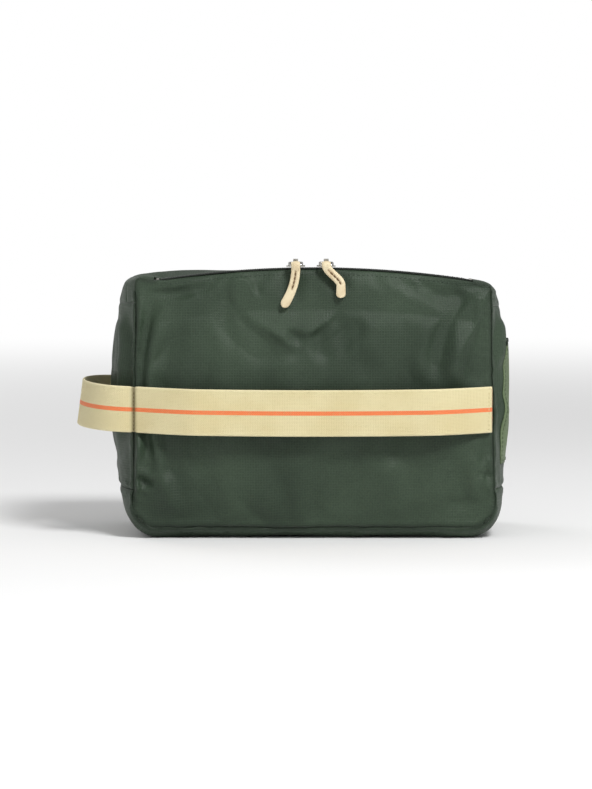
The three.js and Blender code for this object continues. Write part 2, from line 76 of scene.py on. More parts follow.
# The zip, its rings and its pulls.
ZIP_Y = -52.0
ZIP_HEIGHT = 178.6
ZIP_DROP = 8.0
ZIP_HALF = 104.4
CHAIN_HALF = 102.0
ZIP_RADIUS = (ZIP_HALF ** 2 + ZIP_DROP ** 2) / (2 * ZIP_DROP)
SEAM_TOP = ZIP_HEIGHT - 2.2
HEM_EDGE = -57.9  # the back panel is folded over at the zip and ends here
TAPE_FRONT = -43.5  # the top gusset's folded edge lies on the front tape here
TAPE_CLEAR = -31.0  # from its folded edge to here the top gusset comes down off the tape
TAPE_STEP = 1.1
TAPE_HALF = 0.38
TAPE_CORD = 0.12  # the tape's edge beside the teeth is thicker by this on both faces
TAPE_LEVEL = 5.5  # up to here from the teeth's middle the tape is level
TAPE_SINK = 0.9  # further out it dips, to pass under the cloth's folded edge
COIL_PITCH = 1.5
COIL_MIDDLE = 2.0
COIL_REACH = 1.35
COIL_HEIGHT = 0.62
FILAMENT = 0.34
TURN_STEPS = 14
RING_LIFT = 3.95
RING_WIDTH = 8.4
RING_LENGTH = 12.5
RING_CORNER = 1.2
WIRE_RADIUS = 0.7
RING_TILT = math.radians(6)
LEATHER = 1.1  # one layer of the folded pull
LAYER_GAP = 0.06
EYE_ROOM = 0.35  # between the pull's fold and the ring's wire
PULL_WIDTH = 5.9
PULL_LEAN = 0.8
PULL_CROWN = 0.55  # the leather is rolled, so its middle stands up
GROOVE_DEPTH = 0.75
TIP_START = 0.88
STITCHED = 0.62
SLIDERS = [  # place along the zip, length of the pull and its sideways drift
    ("left", -12.0, 27.5, lambda t: 1.2 * t * (1 - t) - 9.0 * t ** 2),
    ("right", 8.0, 21.5, lambda t: 9.8 * smooth(t / 0.62)),
]

# The webbing.
WEBBING_WIDTH = 30.5
WEBBING_THICKNESS = 1.5
WEBBING_HEIGHT = 86.0
WEBBING_FACE = 1.62 * WEBBING_THICKNESS / 2  # its raised outer face, above its inner face
STRAP_SAG = 1.5
STRAP_HALF = 117.0
STRAP_END_GAP = 1.0  # between the strap's sewn ends and the back panel
YARN_ENDS = 46
SLEEVE_DEPTH = 13.0
BAR_SPAN = 78.0
HANDLE_START = 7.8
HANDLE_REACH = 40.0
HANDLE_ROUND = 1.4
HANDLE_STAND = 1.6
HANDLE_TAB = 12.0
HANDLE_LEAN = 4.0
HANDLE_LIFT = 2.4
HANDLE_ROOT = -118.5  # the webbing leaves the bag here and becomes the handle
HANDLE_SEAT = 63.0
CREASE_X = -118.6
CREASE_WIDTH = 1.5

# The side pocket.
POCKET_BOTTOM = 48.0
POCKET_TOP = 128.0
POCKET_HALF_WIDTH = 44.0
POCKET_WAIST = 0.9  # its width at the top and bottom, as a share of the middle
POCKET_SEAM = 2.0
PATCH_STAND = 0.65
BINDING_STAND = 0.1  # the binding lies this much above the patch's edge

# Cells of the body's cloth.
FLOOR_COLUMNS = 56
LOWER_ROWS = 5
SIDE_ROWS = 29
SHOULDER_ROWS = 4
TAB_COLUMNS = 2
ZIP_COLUMNS = 26
ZIP_ROWS = 4
DEPTH_ROWS = 26
SIDE_CELLS = LOWER_ROWS + SIDE_ROWS + SHOULDER_ROWS
TOP_CELLS = 2 * (TAB_COLUMNS + ZIP_COLUMNS)
HEM_ROWS = [-OUTER_SEAM, HEM_EDGE, -53.2, -48.4]
ROW_Y = np.concatenate([HEM_ROWS, np.linspace(TAPE_FRONT, OUTER_SEAM, DEPTH_ROWS + 1)])
REGIONS = ["back", "front", "bottom", "left", "right", "top", "tab_left", "tab_right", "zip"]

# The cloth's own movement. Its broad swelling is mostly left out, because the CAD already has the full shape.
FILL = 0.55  # the cloth starts this full and the pressure does the rest
CLOTH_FRAMES = 20
ZIP_PIN = 1.0
SEAM_PIN = 0.55
BROAD_SHARE = 0.2
BROAD_ROUNDS = 40
SLIDE_CAP = 1.5
LIFT_CAP = (-1.0, 3.2)

# Seams and folds pressed into the cloth, and its layers.
SEAM_DEPTH = 1.15
SEAM_HALF = 1.05
CROSS_SEAM_DEPTH = 0.8
WELT = 0.45
PUCKER = 0.55
PUCKER_WIDTH = 8.0  # beside a seam the cloth puckers over this width
CALM_WIDTH = 14.0  # further from a seam than this, only broad and shallow dents are left
FLAT_BELOW = 5.0  # this close to the floor the cloth loses its folds
FOLD_STRENGTH = 2.5
DEEPEST = -1.8  # no fold goes deeper, so that the cloth stays outside its lining and seam binding
PULL_BACKING = -62.5  # behind this the hanging pulls are free to run along the zip
TIP_HEIGHT = 152.0  # the longer pull's tip hangs above this when its slider is in the middle
CLAMP_EASE = 0.5
CLOTH_THICKNESS = 0.7
LINING_INSET = 4.6
LINING_THICKNESS = 0.5


def lerp(a, b, t):
    return a + (b - a) * t


def smooth(t):
    t = np.clip(t, 0.0, 1.0)
    return t * t * (3 - 2 * t)


def bell(distance, width):
    """1 at no distance, dying out over the given width."""
    return np.exp(-(distance / width) ** 2)


def arch_drop(x):
    """How far the arched zip line lies below its crown, as a negative height."""
    return np.sqrt(ZIP_RADIUS ** 2 - x * x) - ZIP_RADIUS


def half_width(z):
    return lerp(BASE_WIDTH, TOP_WIDTH, z / ZIP_HEIGHT) / 2


def landmarks(top):
    """Distances along one half of the seam line, from the middle of the floor to the crown."""
    head_half = half_width(top) - TOP_CORNER
    side_base = SEAM_LIFT + BASE_CORNER
    side_head = top + arch_drop(head_half) - TOP_CORNER
    floor_end = half_width(0) - BASE_CORNER
    side_start = floor_end + BASE_CORNER * math.pi / 2
    side_end = side_start + side_head - side_base
    arch_start = side_end + TOP_CORNER * math.pi / 2
    crown = arch_start + head_half
    return {
        "head_half": head_half, "side_base": side_base, "side_head": side_head, "middle": 0.0,
        "floor_end": floor_end, "lower_corner": floor_end + BASE_CORNER * math.pi / 4,
        "side_start": side_start, "lower_seam": side_start + SIDE_SEAM_HEIGHT - side_base,
        "shoulder": side_end - SHOULDER, "side_end": side_end,
        "upper_corner": side_end + TOP_CORNER * math.pi / 4, "arch_start": arch_start,
        "zip_end": crown - ZIP_HALF + 0.2, "crown": crown,
    }


def rim(distance, at, top):
    """Point of the seam line and its outward direction: x, z, nx, nz."""
    if distance <= at["floor_end"]:
        return distance, SEAM_LIFT, 0.0, -1.0
    if distance < at["side_start"]:
        angle = (distance - at["floor_end"]) / BASE_CORNER - math.pi / 2
        nx, nz = math.cos(angle), math.sin(angle)
        return at["floor_end"] + BASE_CORNER * nx, at["side_base"] + BASE_CORNER * nz, nx, nz
    if distance <= at["side_end"]:
        share = (distance - at["side_start"]) / (at["side_end"] - at["side_start"])
        x = lerp(at["floor_end"] + BASE_CORNER, at["head_half"] + TOP_CORNER, share)
        return x, lerp(at["side_base"], at["side_head"], share), 1.0, 0.0
    if distance < at["arch_start"]:
        angle = (distance - at["side_end"]) / TOP_CORNER
        nx, nz = math.cos(angle), math.sin(angle)
        return at["head_half"] + TOP_CORNER * nx, at["side_head"] + TOP_CORNER * nz, nx, nz
    x = at["crown"] - distance
    return x, top + arch_drop(x), 0.0, 1.0


def stations():
    """Places round the seam loop: side, two landmarks, share of the way between them and gusset region."""
    loop = []
    for i in range(FLOOR_COLUMNS):
        share = 2 * i / FLOOR_COLUMNS - 1
        loop.append((1 if share >= 0 else -1, "middle", "lower_corner", abs(share), "bottom"))
    spans = [("lower_corner", "lower_seam", LOWER_ROWS, "bottom"),
             ("lower_seam", "shoulder", SIDE_ROWS, "side"),
             ("shoulder", "upper_corner", SHOULDER_ROWS, "tab"),
             ("upper_corner", "zip_end", TAB_COLUMNS, "tab"),
             ("zip_end", "crown", ZIP_COLUMNS, "zip")]
    for a, b, count, region in spans:
        loop += [(1, a, b, i / count, region) for i in range(count)]
    for a, b, count, region in reversed(spans):
        loop += [(-1, a, b, 1 - i / count, region) for i in range(count)]
    return loop


STATIONS = stations()
LOOP = len(STATIONS)


def side_bulge(z, nx, y, side):
    if z > FULLEST_HEIGHT:
        level = 1 - ((z - FULLEST_HEIGHT) / (SEAM_TOP - FULLEST_HEIGHT)) ** 4.6
    else:
        level = 1 - ((FULLEST_HEIGHT - z) / FULLEST_HEIGHT) ** 2.3
    return SIDE_BULGE[side] * nx * max(0.0, level) * (1 - min(1.0, abs(y / OUTER_SEAM)) ** 2.4)


def floor_bulge(nz, y):
    edge = max(0.0, abs(y) - (HALF_DEPTH - FLOOR_ROUND)) / FLOOR_ROUND
    return max(0.0, -nz) * (SEAM_LIFT - FABRIC) * (1 - min(1.0, edge) ** 2)


def gusset_point(station, y, fill):
    """A point of the gussets, and its distance along the flat fabric from the middle of the floor."""
    side, a, b, share, _ = station
    top = SEAM_TOP - FRONT_DROP * (y + HALF_DEPTH) / (2 * HALF_DEPTH)
    at = landmarks(top)
    distance = lerp(at[a], at[b], share)
    x, z, nx, nz = rim(distance, at, top)
    out = FABRIC + floor_bulge(nz, y) + fill * side_bulge(z, nx, y, side)
    out += TOP_BULGE * max(0.0, nz) * (1 - min(1.0, abs(y / OUTER_SEAM)) ** 4)
    if HEM_EDGE < y < TAPE_CLEAR:
        off_tape = (y - TAPE_FRONT - 3) / (TAPE_CLEAR - TAPE_FRONT - 3)
        rise = smooth((y - HEM_EDGE) / 2.5) * (1 - smooth(off_tape))
        out += TAPE_STEP * max(0.0, nz) ** 3 * rise
    return (side * (x + nx * out), y, max(0.0, z + nz * out)), side * distance


def top_rise(x, y):
    """How far the stuffing lifts the left end of the top. Beside the zip, only the very end is lifted."""
    behind = smooth((y + 6) / 20)
    return SHOULDER_RISE * lerp(smooth((-x - 98) / 20), smooth((-x - 45) / 60), behind)


def raised_shoulder(point):
    """The left upper corner stands higher and further out than the right one."""
    x, y, z = point
    high = smooth((z - 138) / 30)
    return x - 1.2 * high * smooth((-x - 88) / 26), y, z + high * top_rise(x, y)


def region_of(row, station):
    """Which panel the cloth belongs to, just after a row and a station."""
    side = "left" if station[0] < 0 else "right"
    region = {"bottom": "bottom", "side": side, "tab": "tab_" + side, "zip": "zip"}[station[4]]
    if row >= ZIP_ROWS and region in ("zip", "tab_left", "tab_right"):
        return "top"
    if row == 0 and region == "zip":
        return "back"
    return region


def body_mesh(fill):
    """The bag's closed skin: points, quads, each quad's region and each corner's place on the flat fabric."""
    points, places = [], []
    for y in ROW_Y:
        for station in STATIONS:
            point, distance = gusset_point(station, y, fill)
            points.append(raised_shoulder(point))
            places.append((distance, y))
    quads, regions, flats = [], [], []

    def add(quad, region, flat):
        quads.append(quad)
        regions.append(REGIONS.index(region))
        flats.append(flat)

    for k in range(len(ROW_Y) - 1):
        row, after = k * LOOP, (k + 1) * LOOP
        for s, station in enumerate(STATIONS):
            beside = (s + 1) % LOOP
            quad = [row + s, after + s, after + beside, row + beside]
            flat = [places[c] for c in quad]
            if abs(flat[0][0] - flat[2][0]) > 50:  # the quad crosses the crown, where the two halves meet
                flat = [(abs(d), y) for d, y in flat]
            add(quad, region_of(k, station), flat)
    last_row = (len(ROW_Y) - 1) * LOOP
    for facing, first, bulge, region in ((-1, 0, BACK_BULGE, "back"), (1, last_row, FRONT_BULGE, "front")):
        grid = panel_grid(points, first, facing, bulge * fill)
        for j in range(SIDE_CELLS):
            for i in range(FLOOR_COLUMNS):
                quad = [grid[j][i], grid[j][i + 1], grid[j + 1][i + 1], grid[j + 1][i]][::-facing]
                add(quad, region, [(points[c][0], points[c][2]) for c in quad])
    return np.array(points), quads, regions, flats


def panel_grid(points, first, facing, bulge):
    """Fills a seam loop with a grid of points by blending its four sides. Returns indices by row."""
    corner = FLOOR_COLUMNS + SIDE_CELLS
    floor = [first + i for i in range(FLOOR_COLUMNS + 1)]
    right = [first + FLOOR_COLUMNS + j for j in range(SIDE_CELLS + 1)]
    top = [first + corner + TOP_CELLS - i for i in range(TOP_CELLS + 1)]
    left = [first + (corner + TOP_CELLS + SIDE_CELLS - j) % LOOP for j in range(SIDE_CELLS + 1)]
    at = [np.array(point) for point in points[first:first + LOOP]]

    def between(a, b, share):
        return lerp(at[a - first], at[b - first], share)

    grid = [floor]
    for j in range(1, SIDE_CELLS):
        v = j / SIDE_CELLS
        row = [left[j]]
        for i in range(1, FLOOR_COLUMNS):
            u = i / FLOOR_COLUMNS
            corners = lerp(between(floor[0], floor[-1], u), between(top[0], top[-1], u), v)
            point = between(floor[i], top[i], v) + between(left[j], right[j], u) - corners
            dome = (1 - (2 * u - 1) ** 4) * (1 - (2 * v - 1) ** 4)
            points.append((point[0], facing * (OUTER_SEAM + bulge * dome), point[2]))
            row.append(len(points) - 1)
        grid.append(row + [right[j]])
    return grid + [top]


def make_mesh(name, points, faces, uvs=None):
    """An object from points in millimetres. uvs holds a pair for each corner of each face, also in mm."""
    mesh = bpy.data.meshes.new(name)
    mesh.from_pydata([tuple(p) for p in np.asarray(points) * MM], [], [tuple(f) for f in faces])
    if uvs is not None:
        layer = mesh.uv_layers.new(name="flat")
        layer.data.foreach_set("uv", (np.asarray(uvs, float).reshape(-1, 2) * MM).ravel())
    mesh.update()
    mesh.polygons.foreach_set("use_smooth", [True] * len(mesh.polygons))
    obj = bpy.data.objects.new(name, mesh)
    bpy.context.scene.collection.objects.link(obj)
    return obj


def read(items, field, width, kind=float):
    """One field of all of a mesh's items, as rows of the given width."""
    values = np.zeros(len(items) * width, kind)
    items.foreach_get(field, values)
    return values.reshape(-1, width)


def points_of(mesh):
    return read(mesh.vertices, "co", 3) / MM


def normals_of(mesh):
    return read(mesh.vertex_normals, "vector", 3)


def faces_of(mesh):
    """A skin's quads, the region of each and its corners' places on the flat fabric."""
    quads = read(mesh.loops, "vertex_index", 1, int).reshape(-1, 4)
    region = read(mesh.polygons, "material_index", 1, int)[:, 0]
    return quads, region, read(mesh.uv_layers["flat"].data, "uv", 2).reshape(-1, 4, 2) / MM


def set_points(mesh, points):
    mesh.vertices.foreach_set("co", (np.asarray(points) * MM).ravel())
    mesh.update()


def tag(piece, name, values):
    """Gives every point of a piece a number that its material can read."""
    layer = piece.data.attributes.new(name, "FLOAT", "POINT")
    layer.data.foreach_set("value", values.ravel().astype(np.float32))


def applied(obj):
    """A new mesh with the object's modifiers applied."""
    bpy.context.view_layer.update()
    depsgraph = bpy.context.evaluated_depsgraph_get()
    mesh = bpy.data.meshes.new_from_object(obj.evaluated_get(depsgraph), depsgraph=depsgraph)
    obj.modifiers.clear()
    return mesh


def thickened(obj, thickness):
    """Gives a sheet its thickness, on the inside."""
    sheet = obj.modifiers.new("Solidify", "SOLIDIFY")
    sheet.thickness = thickness * MM
    sheet.offset = -1
    obj.data = applied(obj)


def finished(piece, material, body, slot, *nodes):
    """Gives a piece its material and its body, and hides the CAD nodes that it stands for. The slot is not
    used.
    """
    piece.data.materials.clear()
    piece.data.materials.append(material)
    if body:
        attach(piece, body)
    if nodes:
        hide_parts(*nodes)
    return piece


def spread(values, quads, rounds):
    """Averages values at the points with their neighbours' values, so that only broad changes stay."""
    pairs = np.array([(q[i], q[(i + 1) % 4]) for q in quads for i in range(4)])
    counts = np.bincount(pairs.ravel(), minlength=len(values))[:, None]
    out = values.copy()
    for _ in range(rounds):
        total = np.zeros_like(out)
        np.add.at(total, pairs[:, 0], out[pairs[:, 1]])
        np.add.at(total, pairs[:, 1], out[pairs[:, 0]])
        out = 0.5 * out + 0.5 * total / counts
    return out


def inflate(obj, pins):
    """Blows the skin up like a stuffed bag: the zip holds still and the seams give a little."""
    group = obj.vertex_groups.new(name="pin")
    for index, weight in pins.items():
        group.add([index], weight, "REPLACE")
    cloth = obj.modifiers.new("Cloth", "CLOTH")
    settings = cloth.settings
    settings.quality = 6
    settings.mass = 0.3
    settings.tension_stiffness = 18
    settings.compression_stiffness = 18
    settings.shear_stiffness = 6
    settings.bending_stiffness = 0.35
    settings.vertex_group_mass = "pin"
    settings.pin_stiffness = 0.6
    settings.shrink_min = -0.035
    settings.use_pressure = True
    settings.uniform_pressure_force = 4.0
    settings.effector_weights.gravity = 0.0
    cloth.collision_settings.use_self_collision = False
    cloth.point_cache.frame_start = 1
    cloth.point_cache.frame_end = CLOTH_FRAMES
    scene = bpy.context.scene
    for number in range(1, CLOTH_FRAMES + 1):
        scene.frame_set(number)
    mesh = applied(obj)
    scene.frame_set(1)
    blown = points_of(mesh)
    bpy.data.meshes.remove(mesh)
    obj.vertex_groups.clear()
    return blown


def pinned():
    """How firmly each point of the gussets is held during the cloth simulation."""
    pins = {}
    for k in range(len(ROW_Y)):
        for s, station in enumerate(STATIONS):
            if station[4] == "zip" and k <= ZIP_ROWS + 2:
                pins[k * LOOP + s] = ZIP_PIN
            elif k in (0, len(ROW_Y) - 1):
                pins[k * LOOP + s] = SEAM_PIN
    return pins


def stuffed_skin():
    """The bag's closed skin after the cloth simulation, and its unwrinkled points and directions."""
    points, quads, regions, flats = body_mesh(FILL)
    full = body_mesh(1.0)[0]
    obj = make_mesh("body_skin", points, quads, flats)
    for _ in REGIONS:
        obj.data.materials.append(None)
    obj.data.polygons.foreach_set("material_index", regions)
    move = inflate(obj, pinned()) - full
    set_points(obj.data, full)
    outward = normals_of(obj.data)
    broad = spread(move, quads, BROAD_ROUNDS)
    move = move - broad + broad * BROAD_SHARE
    lift = (move * outward).sum(axis=1)
    slide = move - outward * lift[:, None]
    reach = np.linalg.norm(slide, axis=1)
    slide *= np.minimum(1.0, SLIDE_CAP / np.maximum(reach, 1e-6))[:, None]
    set_points(obj.data, full + slide + outward * np.clip(lift, *LIFT_CAP)[:, None])
    return obj, full, outward


# Folds that the stuffed bag shows: two ends (across, up), width and height. Those of the back lie on
# its panel.
BACK_FOLDS = [
    ((-54, 178), (-10, 134), 7.0, 2.2), ((-66, 164), (-24, 118), 9.0, -1.4),
    ((-12, 136), (22, 166), 7.0, 1.8), ((-2, 122), (36, 148), 8.0, -1.2), ((-20, 122), (-14, 92), 12.0, 0.9),
    ((-42, 172), (-6, 130), 3.6, -1.1), ((-4, 131), (20, 158), 3.4, -0.9), ((-30, 148), (-10, 124), 3.0, 0.6),
    ((114, 165), (90, 98), 7.0, 2.4), ((101, 168), (77, 106), 8.0, -1.8), ((86, 154), (70, 104), 9.0, 1.2),
    ((48, 170), (34, 116), 12.0, 1.0),
    ((-112, 165), (-110, 40), 3.2, 1.4), ((-106, 160), (-104, 46), 3.4, -1.4),
    ((-98, 158), (-97, 30), 5.0, 1.6), ((-86, 150), (-88, 20), 8.0, -1.0),
    ((-112, 70), (-116, 22), 3.0, 1.2), ((-98, 44), (-88, 14), 6.0, 1.0), ((-72, 40), (-60, 14), 8.0, -0.8),
    ((-118, 48), (-102, 41), 3.0, 0.7), ((-118, 42), (-106, 35), 2.8, -0.7),
    ((-117, 35), (-108, 32), 2.6, 0.6),
    ((119, 54), (109, 43), 3.0, 0.7), ((109, 43), (119, 31), 3.0, 0.7), ((112, 43), (119, 42), 2.8, -0.6),
    ((112, 76), (108, 24), 5.0, 0.9), ((86, 60), (100, 18), 9.0, -0.9), ((52, 56), (60, 12), 10.0, 0.8),
    ((-118, 170), (-74, 174), 3.0, 0.9), ((-108, 163), (-66, 169), 3.6, -0.6),
    ((94, 168), (114, 158), 4.0, 0.7), ((60, 170), (88, 158), 6.0, -0.8),
    ((-67, 150), (-67, 20), 9.0, -0.9), ((69, 150), (69, 20), 9.0, -0.9),
    ((-20, 60), (-34, 12), 11.0, 0.8), ((18, 66), (26, 14), 12.0, -0.7),
]
FRONT_FOLDS = [
    ((-60, 168), (-18, 128), 9.0, 1.6), ((52, 170), (24, 120), 9.0, 1.4), ((104, 150), (96, 40), 6.0, 1.4),
    ((-106, 150), (-100, 36), 6.0, 1.4), ((-40, 50), (-56, 12), 9.0, 1.0), ((44, 54), (52, 12), 9.0, -1.0),
    ((-112, 60), (-90, 22), 6.0, -1.0), ((112, 66), (92, 20), 7.0, -1.2), ((0, 150), (6, 96), 14.0, -1.0),
]
SIDE_FOLDS = [
    ((-34, 160), (-30, 52), 7.0, 1.3), ((-12, 165), (-8, 60), 9.0, -1.3), ((18, 160), (14, 44), 8.0, 1.2),
    ((40, 158), (42, 60), 6.0, -1.1), ((-48, 150), (-46, 70), 4.0, -0.9), ((50, 140), (30, 118), 5.0, 0.8),
    ((-54, 46), (-20, 36), 4.0, 1.1), ((54, 48), (22, 36), 4.0, 1.1), ((-4, 48), (2, 33), 6.0, 1.0),
]


def fold_height(a, b, folds):
    """Height of folds at points (a, b) of the flat fabric: each is a soft ridge that dies out at its ends."""
    total = np.zeros(len(a))
    for (a0, b0), (a1, b1), width, height in folds:
        da, db = a1 - a0, b1 - b0
        length = math.hypot(da, db)
        along = ((a - a0) * da + (b - b0) * db) / length ** 2
        across = ((a - a0) * db - (b - b0) * da) / length
        bow = 0.08 * length * np.sin(np.pi * np.clip(along, 0, 1))
        fade = smooth((along + 0.05) / 0.3) * smooth((1.05 - along) / 0.3)
        total += height * fade * bell(across - bow, width)
    return FOLD_STRENGTH * total


def field(points, scale, seed):
    """Smooth noise from -1 to 1 at points, with a size in each direction."""
    shift = Vector((seed * 17.3, seed * 5.1, seed * 9.7))
    return np.array([noise.noise(Vector(p) + shift) for p in points / np.array(scale)])


def regions_touched(points, quads, region):
    """For each region, which points its faces have."""
    touch = np.zeros((len(points), len(REGIONS)), bool)
    for corner in range(4):
        touch[quads[:, corner], region] = True
    return {name: touch[:, index] for index, name in enumerate(REGIONS)}


def seam_distance(points, touch, main):
    """Distance of each point to the nearest seam. The main seams run round the back and front panels."""
    panel = touch["back"] | touch["front"]
    on_seam = (sum(touch[name].astype(int) for name in REGIONS) > 1) & ~touch["zip"]
    on_seam &= panel if main else ~panel
    tree = KDTree(int(on_seam.sum()))
    for index in np.nonzero(on_seam)[0]:
        tree.insert(points[index], int(index))
    tree.balance()
    return np.array([tree.find(p)[2] for p in points])


def pressed(away, depth):
    """A seam's valley, with the cloth swelling a little on both sides of it."""
    return WELT * depth / SEAM_DEPTH * bell(away - 3.4, 1.6) - depth * bell(away, SEAM_HALF)


def shaped(points, normals, quads, region):
    """Presses the seams in, puckers the cloth beside them and adds the folds.

    Returns the points, and how close each is to a main seam.
    """
    touch = regions_touched(points, quads, region)
    x, y, z = points.T
    main = seam_distance(points, touch, True)
    cross = seam_distance(points, touch, False)
    shoulder = smooth((z - 120) / 20)
    away = np.minimum(main, cross + 20 * shoulder)
    out = pressed(main, SEAM_DEPTH) + pressed(cross, CROSS_SEAM_DEPTH) * (1 - 0.6 * shoulder)
    pucker = field(points, (5.0, 6.0, 5.0), 1) + 0.5 * field(points, (2.8, 3.4, 2.8), 2)
    above_floor = 0.25 + 0.75 * smooth((z - 10) / 14)
    out += PUCKER * pucker * bell(away, PUCKER_WIDTH) * smooth((away - 0.3) / 2.0) * above_floor
    calm = smooth(away / CALM_WIDTH)
    broad = 0.7 * calm * field(points, (26.0, 30.0, 44.0), 3)
    fine = 0.3 * calm * field(points, (11.0, 12.0, 20.0), 4)
    out += broad + fine
    seam_free = smooth(main / 3.0)
    amid_side = smooth((154 - z) / 16) * smooth((z - SIDE_SEAM_HEIGHT - 3) / 26)
    side_lift = seam_free * amid_side * fold_height(y, z, SIDE_FOLDS)
    for name, lift in (("back", seam_free * fold_height(x, z, BACK_FOLDS)),
                       ("front", seam_free * fold_height(x, z, FRONT_FOLDS)),
                       ("left", side_lift), ("right", side_lift)):
        out[touch[name]] += lift[touch[name]]
    by_zip_edge = smooth((z - arch_drop(x) - ZIP_HEIGHT + 8) / 6) * smooth((-28 - y) / 6)
    out *= 1 - 0.9 * by_zip_edge
    out *= 0.2 + 0.8 * smooth(z / FLAT_BELOW)
    moved = settled(points + normals * np.maximum(out, DEEPEST)[:, None])
    # The second value sets the painted shade beside the main seams.
    return under_zip(moved, touch["top"]), bell(main, 2.2)


def under_zip(points, top):
    """Keeps the top gusset lower than the zip's teeth, seen from a little above the zip."""
    p = points.copy()
    x, y, z = points.T
    crown = ZIP_HEIGHT + arch_drop(np.minimum(ZIP_HALF, np.abs(x)))
    limit = crown + 0.9 - 0.024 * (y - ZIP_Y) + top_rise(x, y)
    eased = limit - np.logaddexp(0.0, (limit - z) / CLAMP_EASE) * CLAMP_EASE
    p[:, 2] = lerp(z, eased, smooth((ZIP_HALF + 8 - np.abs(x)) / 12) * top)
    return p


def strap_standoff(x):
    """The trolley strap's inner face stands this far behind the back panel's seams."""
    slope = np.clip((STRAP_HALF - np.abs(x)) / (STRAP_HALF - BAR_SPAN), 0, 1)
    return lerp(STRAP_END_GAP, SLEEVE_DEPTH + BACK_BULGE, 1 - (1 - slope) ** 1.3)


def settled(points):
    """Keeps the cloth above the floor, in front of the strap and clear of the leather pulls."""
    p = points.copy()
    p[:, 2] = np.maximum(p[:, 2], 0.0)
    x, y, z = p.T
    beyond_webbing = np.maximum(0, np.abs(z - WEBBING_HEIGHT) - WEBBING_WIDTH / 2 - 1)
    off_strap = beyond_webbing + np.maximum(0, np.abs(x) - STRAP_HALF - 1)
    by_strap = -(HALF_DEPTH + FABRIC + strap_standoff(x) - 0.4) - 0.6 * off_strap
    past_zip = np.maximum(0, np.abs(x) - ZIP_HALF)
    below_tips = np.maximum(0, TIP_HEIGHT + arch_drop(x) - z)
    limit = np.maximum(by_strap, PULL_BACKING - 0.35 * past_zip - 0.35 * below_tips)
    off_handle = beyond_webbing + np.maximum(0, np.abs(x + 112) - 8)
    backed = limit + CLAMP_EASE * np.logaddexp(0, (y - limit) / CLAMP_EASE)
    p[:, 1] = np.where(y < 0, backed, np.minimum(y, HANDLE_SEAT + 0.6 * off_handle))
    return p


CLOTH_PIECES = {
    "back_cloth": ("back", "back_panel"),
    "front_cloth": ("front", "front_panel"),
    "left_side_cloth": ("left", "side_gusset_left"),
    "right_side_cloth": ("right", "side_gusset_right"),
    "bottom_cloth": ("bottom", "bottom_gusset"),
    "top_cloth": ("top", "top_gusset"),
    "zip_end_cloth_left": ("tab_left", "zip_end_tab_left"),
    "zip_end_cloth_right": ("tab_right", "zip_end_tab_right"),
}
LININGS = {"back": "back", "front": "front", "bottom": "bottom", "left": "side_left", "right": "side_right",
           "top": "top"}


def cut_piece(name, points, faces, region):
    """One panel cut out of the skin, and which of the skin's points it has."""
    quads, regions, uvs = faces
    chosen = regions == REGIONS.index(region)
    used, corners = np.unique(quads[chosen], return_inverse=True)
    piece = make_mesh(name, points[used], corners.reshape(-1, 4), uvs[chosen])
    return piece, used


def build_cloth(material, lining):
    """All panels and gussets of the shell and of the lining, and the skin they were cut from."""
    skin, full, outward = stuffed_skin()
    build_lining(full - outward * LINING_INSET, faces_of(skin.data), lining)
    finer = skin.modifiers.new("Subdivision", "SUBSURF")
    finer.levels = 2
    finer.render_levels = 2
    skin.data = applied(skin)
    faces = faces_of(skin.data)
    points, seam_shade = shaped(points_of(skin.data), normals_of(skin.data), *faces[:2])
    bpy.data.objects.remove(skin)
    for name, (region, node) in CLOTH_PIECES.items():
        piece, used = cut_piece(name, points, faces, region)
        # Each point's share of painted shade beside the main seams.
        tag(piece, "seam", seam_shade[used])
        thickened(piece, CLOTH_THICKNESS)
        finished(piece, material, "bag", "dark_fabric", node)
    return BVHTree.FromPolygons([Vector(p) for p in points], [tuple(q) for q in faces[0]])


def build_lining(points, faces, material):
    """Lining a few millimetres inside the unwrinkled shape of the cloth."""
    points[:, 2] = np.maximum(points[:, 2], LINING_INSET / 2)
    for region, node in LININGS.items():
        piece, _ = cut_piece("lining_cloth_" + node, points, faces, region)
        thickened(piece, LINING_THICKNESS)
        finished(piece, material, "bag", "lining_fabric", "lining_" + node)


def on_skin(tree, start, direction):
    """The skin's point and outward direction, hit from outside."""
    place, normal, _, _ = tree.ray_cast(Vector(start), Vector(direction).normalized())
    if normal.dot(Vector(direction)) > 0:
        normal = -normal
    return np.array(place), np.array(normal)


# Strips, tubes and stitches.
def unit(v):
    v = np.asarray(v, float)
    return v / np.maximum(np.linalg.norm(v, axis=-1, keepdims=True), 1e-9)


def crossed(lengthwise, around):
    """A grid of flat coordinates from the places along a strip and round it."""
    return np.stack(np.broadcast_arrays(lengthwise[:, None], around[None, :]), axis=-1)


def lofted(name, strips, closed=False, uvs=None):
    """Closed bodies made of rings of points. Each strip is an array of rings, each ring goes round it."""
    points, faces, corner_uvs = [], [], []
    for number, rings in enumerate(strips):
        rings = np.asarray(rings, float)
        count, around = rings.shape[:2]
        base = len(points)
        points.extend(rings.reshape(-1, 3))
        flat = uvs[number] if uvs is not None else np.zeros((count, around, 2))
        for i in range(count if closed else count - 1):
            after = (i + 1) % count
            for k in range(around):
                beside = (k + 1) % around
                corners = [(i, k), (i, beside), (after, beside), (after, k)]
                faces.append([base + a * around + b for a, b in corners])
                corner_uvs.extend(flat[a][b] for a, b in corners)
        if not closed:
            for i, order in ((0, range(around - 1, -1, -1)), (count - 1, range(around))):
                faces.append([base + i * around + k for k in order])
                corner_uvs.extend(flat[i][k] for k in order)
    return make_mesh(name, points, faces, corner_uvs)


def travel(path, closed=False):
    """Direction of a path at each of its points."""
    if closed:
        return unit(np.roll(path, -1, axis=0) - np.roll(path, 1, axis=0))
    return unit(np.gradient(path, axis=0))


